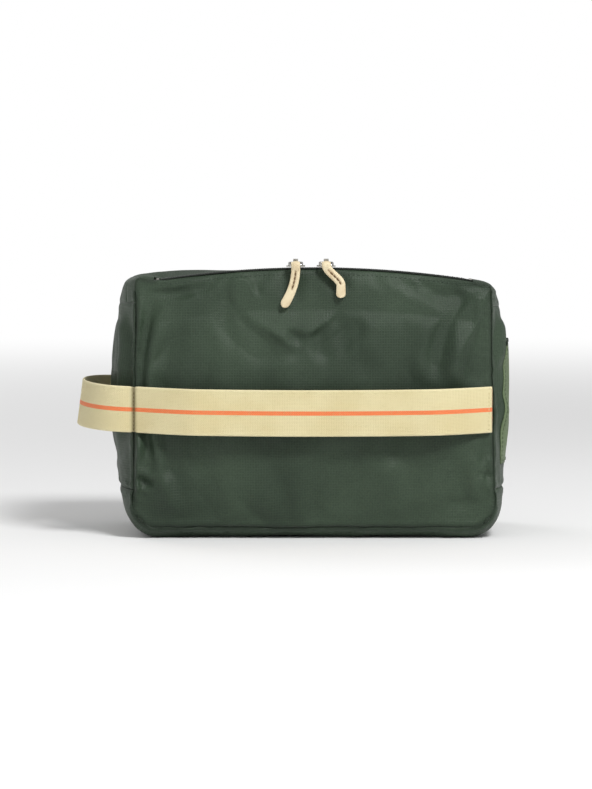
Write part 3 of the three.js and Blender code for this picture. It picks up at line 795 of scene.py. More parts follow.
def tube_rings(path, radius, sides, up, closed=False):
    """Rings of a round tube along a path. radius may be one number or one for each ring."""
    ahead = travel(path, closed)
    aside = unit(np.cross(ahead, np.broadcast_to(up, path.shape)))
    above = np.cross(aside, ahead)
    turn = 2 * np.pi * np.arange(sides) / sides
    radius = np.broadcast_to(radius, (len(path),))[:, None, None]
    ring = np.cos(turn)[None, :, None] * aside[:, None] + np.sin(turn)[None, :, None] * above[:, None]
    return path[:, None] + radius * ring


def stitch_rings(start, end, up, radius, sink=0.35):
    """One stitch: a short thread that is thickest in the middle and dives into the cloth at both ends."""
    t = np.linspace(0, 1, 7)[:, None]
    path = lerp(start, end, t) + up * (np.sin(np.pi * t) * (radius + sink) - sink)
    thickness = radius * np.maximum(0.25, np.sin(np.pi * np.linspace(0.06, 0.94, 7)) ** 0.4)
    return tube_rings(path, thickness, 7, up)


def stitches(name, places, ups, material, body, slot, *nodes, length=2.3, gap=0.8, radius=0.3):
    """A row of stitches along a line of close places, each with its direction away from the cloth."""
    places = np.asarray(places, float)
    ups = np.asarray(ups, float)
    steps = np.linalg.norm(np.diff(places, axis=0), axis=1)
    along = np.concatenate([[0], np.cumsum(steps)])
    at = lambda s, values: np.array([np.interp(s, along, values[:, k]) for k in range(3)])
    strips = []
    s = gap / 2
    while s + length <= along[-1]:
        up = unit(at(s + length / 2, ups))
        strips.append(stitch_rings(at(s, places), at(s + length, places), up, radius))
        s += length + gap
    finished(lofted(name, strips), material, body, slot, *nodes)


def turned(points, matrix):
    m = np.array(matrix)
    return np.asarray(points) @ m[:3, :3].T + m[:3, 3]


# The zip.
def by_zip(along, above, across):
    """Points from their places along the arched zip, above it and in front of it."""
    angle = along / ZIP_RADIUS
    reach = ZIP_RADIUS + above
    y = ZIP_Y + across + 0 * angle
    return np.stack([reach * np.sin(angle), y, ZIP_HEIGHT - ZIP_RADIUS + reach * np.cos(angle)], axis=-1)


def build_coil(name, side, node, material):
    """One row of nylon teeth: a filament wound in flat loops along the tape."""
    turns = int(2 * (CHAIN_HALF - 1) / COIL_PITCH)
    turn = np.arange(turns * TURN_STEPS + 1) * 2 * np.pi / TURN_STEPS
    along = 1 - CHAIN_HALF + (turn / (2 * np.pi) + 0.25 * side) * COIL_PITCH
    path = by_zip(along, COIL_HEIGHT * np.sin(turn), side * (COIL_MIDDLE - COIL_REACH * np.cos(turn)))
    rings = tube_rings(path, FILAMENT, 6, (1.0, 0.02, 0.03))
    finished(lofted(name, [rings]), material, "bag", "zip_nylon", node)


def build_tape(name, near, far, node, material):
    """A woven tape with a thicker bound edge beside the teeth."""
    along = np.linspace(-ZIP_HALF, ZIP_HALF, 140)
    share = np.linspace(0, 1, 12)
    half = TAPE_HALF * np.sqrt(np.maximum(0.12, 1 - np.abs(2 * share - 1) ** 6))
    half[:3] += TAPE_CORD
    across = lerp(near, far, share)
    across = np.concatenate([across, across[::-1]])
    above = np.concatenate([half, -half[::-1]]) - TAPE_SINK * smooth((np.abs(across) - TAPE_LEVEL) / 3)
    rings = by_zip(along[:, None], above[None], across[None])
    flat = crossed(along, across)
    if far > near:
        rings, flat = rings[:, ::-1], flat[:, ::-1]
    finished(lofted(name, [rings], uvs=[flat]), material, "bag", "zip_nylon", node)


def arch_matrix(at):
    return Matrix.Translation((0, ZIP_Y, ZIP_HEIGHT - ZIP_RADIUS)) @ Matrix.Rotation(at / ZIP_RADIUS, 4, "Y")


def build_ring(name, at, body, node, material):
    """A rounded rectangle of wire, with its near side in the slider's crown."""
    half = RING_WIDTH / 2
    path = []
    for x, y, start in ((half, 0, 90), (half, -RING_LENGTH, 0), (-half, -RING_LENGTH, -90), (-half, 0, -180)):
        middle_x = x - math.copysign(RING_CORNER, x)
        middle_y = y + (RING_CORNER if y else -RING_CORNER)
        for angle in np.radians(np.linspace(start, start - 90, 9)):
            x = middle_x + RING_CORNER * math.cos(angle)
            y = middle_y + RING_CORNER * math.sin(angle)
            path.append((x, y, 0.0))
    rings = tube_rings(np.array(path), WIRE_RADIUS, 14, (0, 0, 1.0), closed=True)
    tilt = Matrix.Translation((0, 0, ZIP_RADIUS + RING_LIFT)) @ Matrix.Rotation(RING_TILT, 4, "X")
    piece = lofted(name, [turned(rings, arch_matrix(at) @ tilt)], closed=True)
    finished(piece, material, body, "nickel", node)


def pull_matrix(at):
    y = -RING_LENGTH * math.cos(RING_TILT)
    z = ZIP_RADIUS + RING_LIFT - RING_LENGTH * math.sin(RING_TILT)
    return arch_matrix(at) @ Matrix.Translation((0, y, z))


def pull_line(drift, length, down, off):
    """Points down the pull's middle. off is their distance from its middle plane, towards the back."""
    t = np.clip(down / length, 0, 1)
    return np.stack([drift(t), -t * PULL_LEAN - off, -down], axis=-1)


def pull_section():
    """Points round one layer of the pull: across from -1 to 1, height, and closeness to the groove."""
    turn = np.linspace(0, 2 * np.pi, 28, endpoint=False)
    across = np.sign(np.cos(turn)) * np.abs(np.cos(turn)) ** 0.7
    high = np.sign(np.sin(turn)) * np.abs(np.sin(turn)) ** 0.8 * LEATHER / 2
    high += np.where(high > 0, PULL_CROWN * (1 - across ** 2), 0.0)
    return across, high, bell(across, 0.24) * (high > 0)


def build_pull(side, at, length, drift, leather, thread):
    """A strip of leather folded over the ring's wire and stitched down the middle of its upper part."""
    fold = LEATHER / 2 + WIRE_RADIUS + EYE_ROOM
    lay = LEATHER / 2 + LAYER_GAP
    downs = np.concatenate([np.linspace(length, 4.2, 46), np.linspace(4.0, 0.4, 9)])
    offs = lerp(fold, lay, smooth(downs / 4.6))
    over = np.radians(np.linspace(20, 160, 12))
    down = np.concatenate([downs, -fold * np.sin(over), downs[::-1]])
    off = np.concatenate([offs, fold * np.cos(over), -offs[::-1]])
    path = pull_line(drift, length, down, off)
    t = np.clip(down / length, 0, 1)
    slope = (drift(np.minimum(1, t + 0.01)) - drift(np.maximum(0, t - 0.01))) / 0.02 / length
    sideways = unit(np.stack([np.ones_like(t), np.zeros_like(t), slope], axis=-1))
    facing = unit(np.cross(sideways, travel(path)))
    tip = np.clip((t - TIP_START) / (1 - TIP_START), 0, 1)
    wide = PULL_WIDTH / 2 * (1 + 0.05 * smooth((t - 0.6) / 0.3)) * np.sqrt(np.maximum(0.02, 1 - tip ** 2.2))
    across, high, groove = pull_section()
    stitched = smooth((STITCHED - t) / 0.06) * smooth((t - 0.1) / 0.05) * (off > 0)
    grooved = groove[None, :] * stitched[:, None]
    high = high[None, :] - GROOVE_DEPTH * grooved
    high = high + 0.05 * np.sin(across[None, :] * 9 + down[:, None] * 1.7)
    aside = wide[:, None, None] * across[None, :, None] * sideways[:, None]
    rings = path[:, None] + aside + high[:, :, None] * facing[:, None]
    flat = crossed(np.arange(len(down)) * 0.7, across * PULL_WIDTH / 2)
    piece = lofted("pull_strip_" + side, [turned(rings, pull_matrix(at))], uvs=[flat])
    # The groove's share also sets the brown stain in the groove, which is partly painted shade.
    tag(piece, "groove", grooved)
    finished(piece, leather, "pull_" + side, "leather", "leather_pull_" + side)
    down = np.linspace(4.5, STITCHED * length, 40)
    off = lay + LEATHER / 2 + PULL_CROWN - GROOVE_DEPTH + 0.1
    line = turned(pull_line(drift, length, down, np.full(40, off)), pull_matrix(at))
    stitches("pull_strip_" + side + "_stitches", line, np.tile([0.0, -1.0, 0.0], (40, 1)), thread,
             "pull_" + side, "thread", length=2.1, gap=0.7, radius=0.45)


# The webbing: one length makes the trolley strap and, beyond the side seam, the carry handle.
def webbing_line():
    """The webbing's middle line, how far round the handle each point is, and the places along it."""
    strap_count, loop_count, tab_count = 150, 110, 10
    strap_x = np.linspace(STRAP_HALF, HANDLE_ROOT, strap_count)
    strap_y = -(HALF_DEPTH + FABRIC + strap_standoff(strap_x) + WEBBING_THICKNESS / 2)
    strap_z = WEBBING_HEIGHT - STRAP_SAG * np.maximum(0, 1 - (strap_x / STRAP_HALF) ** 2)
    first = math.asin((HANDLE_START / HANDLE_REACH) ** HANDLE_ROUND)
    angle = np.linspace(first, math.pi - first, loop_count)
    loop_x = -half_width(WEBBING_HEIGHT) - HANDLE_REACH * np.sin(angle) ** (1 / HANDLE_ROUND)
    loop_y = -(HALF_DEPTH + FABRIC + HANDLE_STAND) * np.cos(angle)
    loop_z = WEBBING_HEIGHT + HANDLE_LIFT * np.sin(angle)
    tab_x = np.linspace(HANDLE_ROOT, HANDLE_ROOT + HANDLE_TAB, tab_count)
    tab_y = np.full(tab_count, HANDLE_SEAT + WEBBING_THICKNESS / 2 + 0.1)
    x = np.concatenate([strap_x, loop_x, tab_x])
    y = np.concatenate([strap_y, loop_y, tab_y])
    z = np.concatenate([strap_z, loop_z, np.full(tab_count, WEBBING_HEIGHT)])
    swing = np.concatenate([np.zeros(strap_count), np.sin(angle), np.zeros(tab_count)])
    steps = np.concatenate([[0], np.cumsum(np.hypot(np.diff(x), np.diff(y)))])
    even = np.arange(0, steps[-1], 1.3)
    line = np.stack([np.interp(even, steps, values) for values in (x, y, z)], axis=-1)
    for _ in range(3):
        line[1:-1] = (line[:-2] + 2 * line[1:-1] + line[2:]) / 4
    return line, np.interp(even, steps, swing), even


def webbing_ring(count=36):
    """The webbing's section: flat faces with rounded selvedges that are a little thicker."""
    w = np.sin(np.linspace(-np.pi / 2, np.pi / 2, count)) * WEBBING_WIDTH / 2
    edge = WEBBING_WIDTH / 2 - np.abs(w)
    half = WEBBING_THICKNESS / 2 * np.sqrt(np.clip(edge / 0.6, 0, 1)) * 0.92
    half += 0.09 * bell(edge - 1.3, 0.7)
    half += 0.05 * np.exp(-(w / 1.7) ** 4)
    return np.concatenate([w, w[::-1][1:-1]]), np.concatenate([half, -half[::-1][1:-1]])


def build_webbing(material):
    line, swing, along = webbing_line()
    across, high = webbing_ring()
    ahead = travel(line)
    out = unit(np.stack([ahead[:, 1], -ahead[:, 0], np.zeros(len(line))], axis=-1))
    lean = np.stack([swing * HANDLE_LEAN / WEBBING_WIDTH, np.zeros(len(line)), np.ones(len(line))], axis=-1)
    pinch = bell(line[:, 0] - CREASE_X, CREASE_WIDTH) * (line[:, 1] < 0)
    end_pinch = bell(line[:, 0] - STRAP_HALF + 1.6, 1.2)
    lean *= (1 - 0.03 * pinch)[:, None]
    sunk = high[None, :] * (1 - 0.45 * (pinch + 0.5 * end_pinch))[:, None]
    ripple = 0.12 * np.sin(line[:, 0] / 9.0 + 0.8) * smooth(1 - np.abs(line[:, 0]) / 110)
    line = line + out * ripple[:, None]
    rings = line[:, None] + across[None, :, None] * lean[:, None] + sunk[:, :, None] * out[:, None]
    piece = lofted("webbing", [rings], uvs=[crossed(along, across)])
    # Painted shade: this share darkens the webbing's colour in its stitched crease.
    crease_shade = bell(line[:, 0] - CREASE_X, CREASE_WIDTH) * (line[:, 1] < 0)
    tag(piece, "crease_shade", np.repeat(crease_shade, len(across)))
    finished(piece, material, None, "webbing", "trolley_strap", "side_handle", "handle_end_front")
    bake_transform(piece)


def build_webbing_stitches(name, x, side, thread, node):
    """A row of stitches up the webbing's outer face, behind the bag (side -1) or in front of it (side 1)."""
    if side < 0:
        y = -(HALF_DEPTH + FABRIC + float(strap_standoff(x)) + WEBBING_FACE)
    else:
        y = HANDLE_SEAT + WEBBING_THICKNESS + 0.1
    reach = WEBBING_WIDTH / 2 - 1.2
    z = np.linspace(WEBBING_HEIGHT - reach, WEBBING_HEIGHT + reach, 30)
    places = np.stack([np.full(30, x), np.full(30, y), z], axis=-1)
    ups = np.tile([0.0, float(side), 0.0], (30, 1))
    stitches(name, places, ups, thread, "bag", "thread", node, length=2.0, gap=0.6)


def build_fringe(material):
    """Loose ends of the yarns at the strap's cut end."""
    strips = []
    y = -(HALF_DEPTH + FABRIC + STRAP_END_GAP + WEBBING_THICKNESS / 2)
    for i in range(YARN_ENDS):
        share = (i + 0.5) / YARN_ENDS - 0.5
        wobble = noise.noise(Vector((i * 1.7, 3.1, 0.4)))
        lift = noise.noise(Vector((i * 2.3, 8.2, 1.9)))
        t = np.linspace(0, 1, 5)[:, None]
        start = np.array([STRAP_HALF - 0.6, y + 0.35 * lift, WEBBING_HEIGHT + share * (WEBBING_WIDTH - 1.4)])
        end = start + np.array([0.8 + 0.9 * abs(wobble), -0.25 * lift, 0.8 * wobble])
        path = lerp(start, end, t) + np.array([0, 0.2 * wobble, 0.3 * lift]) * t ** 2
        strips.append(tube_rings(path, 0.24 - 0.12 * t[:, 0], 5, (0, 1.0, 0.1)))
    finished(lofted("strap_yarn_ends", strips), material, "bag", "webbing")


# The slip pocket on the right side.
def on_right_side(tree, y, z):
    return on_skin(tree, (220, y, z), (-1, 0, 0))


def pocket_grid(tree, low, high, half, rows, columns, stand, rounds):
    """Points on the right side's cloth, half(v) wide to each side, lifted by stand(v, u), evened out."""
    g = np.zeros((rows + 1, columns + 1, 3))
    for j in range(rows + 1):
        for i in range(columns + 1):
            v, u = j / rows, i / columns
            place, normal = on_right_side(tree, lerp(-half(v), half(v), u), lerp(low, high, v))
            g[j, i] = place + normal * stand(v, u)
    for _ in range(rounds):
        g[1:-1, 1:-1] = (g[:-2, 1:-1] + g[2:, 1:-1] + g[1:-1, :-2] + g[1:-1, 2:]) / 4
    return g


def sheet_piece(name, grid, thickness, material, slot, node):
    """A closed sheet from a grid of points: its thickness goes inwards."""
    rows, columns = grid.shape[0] - 1, grid.shape[1] - 1
    faces, uvs = [], []
    for j in range(rows):
        for i in range(columns):
            corners = [(j, i), (j, i + 1), (j + 1, i + 1), (j + 1, i)]
            faces.append([a * (columns + 1) + b for a, b in corners])
            uvs.extend((grid[a, b, 1], grid[a, b, 2]) for a, b in corners)
    piece = make_mesh(name, grid.reshape(-1, 3), faces, uvs)
    thickened(piece, thickness)
    finished(piece, material, "bag", slot, node)


def pocket_half(z):
    """Half the pocket's width: it is widest at mid height."""
    share = np.clip((z - POCKET_BOTTOM) / (POCKET_TOP - POCKET_BOTTOM), 0, 1)
    return float(POCKET_HALF_WIDTH * (POCKET_WAIST + (1 - POCKET_WAIST) * np.sin(np.pi * share)))


def build_pocket(tree, patch_material, tape_material, thread):
    def patch_stand(v, u):
        edge = min(u, 1 - u) * 2 * POCKET_HALF_WIDTH
        rise = min(edge, v * (POCKET_TOP - POCKET_BOTTOM))
        loose = 0.8 * smooth((v - 0.55) / 0.45) * math.sin(math.pi * u)
        return PATCH_STAND + 0.3 * smooth(rise / 3.0) + loose

    def patch_half(v):
        return pocket_half(lerp(POCKET_BOTTOM, POCKET_TOP, v))

    def tape_stand(v, u):
        return patch_stand(1.0, u) + BINDING_STAND + 0.3 * math.sin(math.pi * v) ** 0.6

    def tape_half(v):
        return pocket_half(POCKET_TOP) + 0.6

    patch = pocket_grid(tree, POCKET_BOTTOM, POCKET_TOP + 0.6, patch_half, 60, 70, patch_stand, 3)
    sheet_piece("side_pocket_cloth", patch, 0.6, patch_material, "sage_fabric", "side_pocket")
    tape = pocket_grid(tree, POCKET_TOP - 0.8, POCKET_TOP + 2.0, tape_half, 10, 70, tape_stand, 2)
    sheet_piece("side_pocket_tape", tape, 0.9, tape_material, "binding_tape", "side_pocket_binding")
    low = POCKET_BOTTOM + POCKET_SEAM
    edge = [(pocket_half(z) - POCKET_SEAM, z) for z in np.linspace(low, POCKET_TOP - POCKET_SEAM, 60)]
    base = [(y, low) for y in np.linspace(-edge[0][0], edge[0][0], 70)[1:-1]]
    outline = [(-y, z) for y, z in reversed(edge)] + base + edge
    hits = [on_right_side(tree, y, z) for y, z in outline]
    stitches("side_pocket_stitches", [p + n for p, n in hits], [n for _, n in hits], thread, "bag", "thread",
             length=2.2, radius=0.18)


def build_topstitching(tree, thread):
    """Rows of stitches that hold the folded cloth edges to the zip's tapes."""
    x = np.linspace(-ZIP_HALF + 3, ZIP_HALF - 3, 150)
    back = [on_skin(tree, (a, -200, SEAM_TOP + arch_drop(a) - 1.4), (0, 1, 0)) for a in x]
    front = [on_skin(tree, (a, TAPE_FRONT + 1.9, 300), (0, 0, -1)) for a in x]
    for name, hits in (("back", back), ("front", front)):
        places, ups = zip(*hits)
        stitches("zip_stitches_" + name, places, ups, thread, "bag", "dark_fabric", radius=0.2)


# Materials. Patterns read the flat coordinates where a piece has them, and the object's own place elsewhere.
class Graph:
    """A material's nodes, built a step at a time."""

    def __init__(self, name):
        self.material = bpy.data.materials.new(name)
        self.material.use_nodes = True
        self.tree = self.material.node_tree
        self.surface = self.tree.nodes["Principled BSDF"]

    def put(self, value, socket):
        if isinstance(value, bpy.types.NodeSocket):
            self.tree.links.new(value, socket)
        else:
            socket.default_value = value

    def add(self, kind, *inputs):
        """A new node, with its first inputs given in order."""
        node = self.tree.nodes.new(kind)
        for socket, given in zip(node.inputs, inputs):
            self.put(given, socket)
        return node

    def math(self, operation, a, b=0.0):
        node = self.add("ShaderNodeMath", a, b)
        node.operation = operation
        return node.outputs[0]

    def times(self, a, b):
        return self.math("MULTIPLY", a, b)

    def plus(self, a, b):
        return self.math("ADD", a, b)

    def ramp(self, value, low, high, to_low=0.0, to_high=1.0):
        node = self.add("ShaderNodeMapRange", value, low, high, to_low, to_high)
        node.interpolation_type = "SMOOTHSTEP"
        return node.outputs[0]

    def mix(self, share, a, b):
        node = self.add("ShaderNodeMix", share)
        node.data_type = "RGBA"
        self.put(a, node.inputs[6])
        self.put(b, node.inputs[7])
        return node.outputs[2]

    def stain(self, color, share, amount, other):
        """The colour with another mixed in, by a share from 0 to 1 and up to an amount."""
        return self.mix(self.times(share, amount), color, other)

    def flat(self):
        """Places along and across the flat fabric."""
        node = self.add("ShaderNodeUVMap")
        node.uv_map = "flat"
        return self.add("ShaderNodeSeparateXYZ", node.outputs[0]).outputs[:2]

    def place(self):
        return self.add("ShaderNodeTexCoord").outputs["Object"]

    def place_parts(self):
        parts = self.tree.nodes.new("ShaderNodeSeparateXYZ")
        self.put(self.place(), parts.inputs[0])
        return parts.outputs

    def noise(self, scale, detail=2.0, rough=0.5):
        node = self.tree.nodes.new("ShaderNodeTexNoise")
        node.inputs["Scale"].default_value = scale
        node.inputs["Detail"].default_value = detail
        node.inputs["Roughness"].default_value = rough
        self.put(self.place(), node.inputs["Vector"])
        return node.outputs[0]

    def cells(self, scale):
        node = self.tree.nodes.new("ShaderNodeTexVoronoi")
        node.inputs["Scale"].default_value = scale
        self.put(self.place(), node.inputs["Vector"])
        return node.outputs[0]

    def attribute(self, name):
        node = self.add("ShaderNodeAttribute")
        node.attribute_name = name
        return node.outputs["Fac"]

    def wave(self, value, pitch):
        """A sine of the given pitch, from -1 to 1."""
        return self.math("SINE", self.times(value, 2 * math.pi / pitch))

    def lines(self, value, pitch, width):
        """1 on a thin line in each pitch and 0 between the lines."""
        share = self.math("FRACT", self.math("DIVIDE", value, pitch))
        away = self.math("ABSOLUTE", self.math("SUBTRACT", share, 0.5))
        return self.ramp(away, 0.5 - width / pitch, 0.5)

    def weave(self, u, v, pitch):
        """Over-and-under relief of a plain weave."""
        over = self.times(self.wave(u, pitch * 2), self.wave(v, pitch * 2))
        warp = self.math("ABSOLUTE", self.wave(u, pitch * 2))
        return self.plus(self.times(over, 0.5), self.times(warp, 0.3))

    def bump(self, height, distance, strength):
        node = self.tree.nodes.new("ShaderNodeBump")
        node.inputs["Strength"].default_value = strength
        node.inputs["Distance"].default_value = distance
        self.put(height, node.inputs["Height"])
        self.put(node.outputs[0], self.surface.inputs["Normal"])

    def finish(self, color, roughness, **others):
        self.put(color, self.surface.inputs["Base Color"])
        self.put(roughness, self.surface.inputs["Roughness"])
        for name, value in others.items():
            self.put(value, self.surface.inputs[name.replace("_", " ")])
        return self.material


def paint(r, g, b):
    """A colour from its display values out of 255."""
    linear = [c / 255 / 12.92 if c <= 10 else ((c / 255 + 0.055) / 1.055) ** 2.4 for c in (r, g, b)]
    return (*linear, 1.0)


GREEN = paint(39, 52, 39)
GREEN_LIGHT = paint(68, 84, 66)
GREEN_DARK = paint(20, 28, 20)
SAGE = paint(88, 104, 74)
SAGE_LIGHT = paint(118, 134, 100)
SAGE_DARK = paint(60, 72, 50)
CREAM = paint(222, 211, 168)
CREAM_WARM = paint(215, 202, 156)
CREAM_DEEP = paint(190, 176, 126)
CREAM_LIGHT = paint(236, 228, 190)
ORANGE = paint(232, 120, 70)
ORANGE_LIGHT = paint(240, 160, 112)
LEATHER_PALE = paint(218, 204, 170)
LEATHER_TAN = paint(192, 168, 130)
LEATHER_DARK = paint(156, 130, 94)
NICKEL = paint(206, 204, 198)
NICKEL_DULL = paint(170, 168, 162)
ZIP_DARK = paint(22, 26, 22)
ZIP_SOFT = paint(38, 44, 38)
BINDING_DARK = paint(34, 42, 34)
BINDING_SOFT = paint(52, 62, 51)
LINING_DARK = paint(46, 49, 52)
LINING_LIGHT = paint(74, 78, 82)
THREAD_DARK = paint(188, 172, 120)
THREAD_LIGHT = paint(222, 210, 166)
# Painted shade: the olive that the webbing darkens to in its stitched crease. The crease's thread also takes
# it as its dark tone.
CREASE_SHADE_OLIVE = paint(74, 64, 32)
CREASE_LIGHT = paint(110, 96, 54)
SEAM_THREAD_DARK = paint(36, 46, 37)
SEAM_THREAD_LIGHT = paint(66, 80, 66)
BROWN_DARK = paint(78, 56, 34)
BROWN_LIGHT = paint(124, 96, 62)

# Pitches and widths of patterns, in metres.
RIPSTOP_PITCH = 0.0017
RIPSTOP_THREAD = 0.0004
RIPSTOP_WEAVE = 0.00028
STRIPE_CORE = 0.00125
STRIPE_EDGE = 0.0015
TWILL_PITCH = 0.0012
RIB_PITCH = 0.0009
PICK_PITCH = 0.0011
SELVEDGE = (0.0134, 0.0148)


def ripstop(name, base, light, dark, roughness):
    """Coated nylon with a square grid of thicker threads, and a soft sheen."""
    g = Graph(name)
    u, v = g.flat()
    across, along = g.lines(u, RIPSTOP_PITCH, RIPSTOP_THREAD), g.lines(v, RIPSTOP_PITCH, RIPSTOP_THREAD)
    grid = g.math("MAXIMUM", across, along)
    weave = g.weave(u, v, RIPSTOP_WEAVE)
    cloud = g.noise(14.0, 3.0)
    fine = g.noise(900.0)
    color = g.mix(g.ramp(cloud, 0.3, 0.7), base, g.mix(0.5, base, light))
    color = g.stain(color, grid, 0.26, light)
    color = g.stain(color, g.ramp(fine, 0.35, 0.75), 0.25, dark)
    # Painted shade: the cloth darkens in the valleys beside the main seams.
    color = g.stain(color, g.attribute("seam"), 0.45, dark)
    rough = g.ramp(g.noise(60.0, 3.0), 0.3, 0.7, roughness - 0.07, roughness + 0.07)
    height = g.plus(g.times(grid, 0.9), g.times(weave, 0.35))
    g.bump(g.plus(height, g.times(fine, 0.25)), 0.00012, 0.8)
    return g.finish(color, rough, Specular_IOR_Level=0.26, Sheen_Weight=0.03, Sheen_Roughness=0.4)


def webbing_material():
    """Cream cotton webbing with a thin orange stripe down its middle."""
    g = Graph("webbing_weave")
    u, v = g.flat()
    twill = g.wave(g.plus(g.times(u, 0.9), v), TWILL_PITCH)
    ribs = g.wave(v, RIB_PITCH)
    picks = g.wave(u, PICK_PITCH)
    stripe = g.ramp(g.math("ABSOLUTE", v), STRIPE_CORE, STRIPE_EDGE, 1.0, 0.0)
    edge = g.ramp(g.math("ABSOLUTE", v), *SELVEDGE)
    cream = g.mix(g.ramp(g.noise(38.0, 4.0), 0.3, 0.7), CREAM, CREAM_WARM)
    cream = g.stain(cream, g.ramp(twill, -0.2, 1.0), 0.22, CREAM_DEEP)
    cream = g.stain(cream, edge, 0.3, CREAM_LIGHT)
    orange = g.stain(ORANGE, g.ramp(twill, -0.4, 1.0), 0.4, ORANGE_LIGHT)
    color = g.mix(stripe, cream, orange)
    color = g.stain(color, g.ramp(g.noise(700.0), 0.5, 0.8), 0.2, CREAM_DEEP)
    # Painted shade: the webbing darkens to olive in its stitched crease.
    color = g.stain(color, g.attribute("crease_shade"), 0.9, CREASE_SHADE_OLIVE)
    height = g.plus(g.times(twill, 0.6), g.times(ribs, 0.35))
    g.bump(g.plus(height, g.times(picks, 0.3)), 0.00016, 0.9)
    rough = g.ramp(g.noise(300.0), 0.3, 0.7, 0.78, 0.92)
    return g.finish(color, rough, Specular_IOR_Level=0.2, Sheen_Weight=0.15)


def leather_material():
    """Pale vegetable-tanned leather with fine pores and handled, darker patches."""
    g = Graph("leather_grain")
    pores = g.cells(2600.0)
    grain = g.noise(900.0, 4.0)
    handled = g.ramp(g.noise(120.0, 3.0), 0.4, 0.7)
    color = g.stain(LEATHER_PALE, handled, 0.5, LEATHER_TAN)
    color = g.stain(color, g.ramp(pores, 0.0, 0.25, 1.0, 0.0), 0.3, LEATHER_DARK)
    # The stitched groove is stained brown like its thread: partly the stitch line's colour, partly painted
    # shade in the groove.
    color = g.stain(color, g.attribute("groove"), 0.85, BROWN_LIGHT)
    g.bump(g.plus(g.times(g.ramp(pores, 0.0, 0.4), 0.7), grain), 0.00008, 0.8)
    return g.finish(color, g.ramp(grain, 0.3, 0.7, 0.42, 0.62), Specular_IOR_Level=0.45)


def metal_material():
    """Nickel plate, brushed by use."""
    g = Graph("nickel_plate")
    scratches = g.noise(1600.0, 5.0, rough=0.7)
    smudges = g.noise(220.0)
    color = g.mix(g.ramp(smudges, 0.35, 0.7), NICKEL, NICKEL_DULL)
    g.bump(scratches, 0.00002, 0.6)
    return g.finish(color, g.ramp(smudges, 0.3, 0.75, 0.16, 0.34), Metallic=1.0)


def coil_material():
    """Black-green nylon filament."""
    g = Graph("zip_filament")
    tone = g.noise(500.0)
    color = g.mix(tone, ZIP_DARK, ZIP_SOFT)
    g.bump(g.noise(2500.0), 0.00003, 0.5)
    return g.finish(color, g.ramp(tone, 0.3, 0.7, 0.3, 0.48), Specular_IOR_Level=0.5)


def tape_material(name, dark, soft, pitch):
    """Narrow woven tape."""
    g = Graph(name)
    x, y, z = g.place_parts()
    weave = g.weave(x, g.plus(y, z), pitch)
    color = g.mix(g.ramp(weave, -0.3, 0.6), dark, soft)
    color = g.stain(color, g.noise(60.0, 3.0), 0.3, dark)
    g.bump(weave, 0.0001, 0.8)
    return g.finish(color, g.ramp(g.noise(400.0), 0.3, 0.7, 0.68, 0.85), Specular_IOR_Level=0.25)


def thread_material(name, dark, light, pitch=0.0009):
    """Twisted sewing thread."""
    g = Graph(name)
    x, y, z = g.place_parts()
    twist = g.wave(g.plus(g.plus(x, y), z), pitch)
    color = g.mix(g.ramp(twist, -1.0, 1.0), dark, light)
    color = g.stain(color, g.noise(300.0), 0.3, dark)
    g.bump(twist, 0.00006, 0.7)
    return g.finish(color, g.ramp(twist, -1.0, 1.0, 0.55, 0.75), Specular_IOR_Level=0.3)


def lining_material():
    """Smooth grey taffeta."""
    g = Graph("lining_taffeta")
    x, y, z = g.place_parts()
    weave = g.weave(g.plus(x, y), z, 0.0004)
    color = g.mix(g.ramp(weave, -0.3, 0.6), LINING_DARK, LINING_LIGHT)
    color = g.stain(color, g.noise(25.0, 3.0), 0.35, LINING_DARK)
    g.bump(weave, 0.00006, 0.7)
    return g.finish(color, g.ramp(g.noise(200.0), 0.3, 0.7, 0.5, 0.65), Specular_IOR_Level=0.35)


def keep_node(node, material, bevel=0.0):
    """Gives a CAD node that stays in view its finish, and rounds its edges."""
    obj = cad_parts[node]
    obj.data.materials.clear()
    obj.data.materials.append(material)
    if bevel:
        edge = obj.modifiers.new("Bevel", "BEVEL")
        edge.width = bevel * MM
        edge.segments = 3
        edge.limit_method = "ANGLE"
        edge.angle_limit = math.radians(35)


def build_body():
    """The shell and its lining, the pocket and the stitching round the zip."""
    green = ripstop("ripstop_green", GREEN, GREEN_LIGHT, GREEN_DARK, 0.48)
    sage = ripstop("ripstop_sage", SAGE, SAGE_LIGHT, SAGE_DARK, 0.62)
    binding = tape_material("binding_weave", BINDING_DARK, BINDING_SOFT, 0.0009)
    tree = build_cloth(green, lining_material())
    build_topstitching(tree, thread_material("thread_green", SEAM_THREAD_DARK, SEAM_THREAD_LIGHT))
    build_pocket(tree, sage, binding, thread_material("thread_sage", SAGE_DARK, SAGE))
    for node in ("seam_binding_back", "seam_binding_front"):
        keep_node(node, binding)


def build_zip():
    """Tapes and teeth, and the sliders with their rings and pulls."""
    coil = coil_material()
    tape = tape_material("zip_tape_weave", ZIP_DARK, ZIP_SOFT, 0.0006)
    nickel = metal_material()
    leather = leather_material()
    brown_thread = thread_material("thread_brown", BROWN_DARK, BROWN_LIGHT)
    build_coil("zip_loops_back", -1, "zip_coil_back", coil)
    build_coil("zip_loops_front", 1, "zip_coil_front", coil)
    build_tape("zip_weave_back", -3.9, -5.6, "zip_tape_back", tape)
    build_tape("zip_weave_front", 3.9, 11.6, "zip_tape_front", tape)
    for side, at, length, drift in SLIDERS:
        build_ring("ring_wire_" + side, at, "ring_" + side, "pull_ring_" + side, nickel)
        build_pull(side, at, length, drift, leather, brown_thread)
        keep_node("slider_" + side, nickel, bevel=0.4)
        keep_node("zip_stop_" + side, nickel, bevel=0.4)


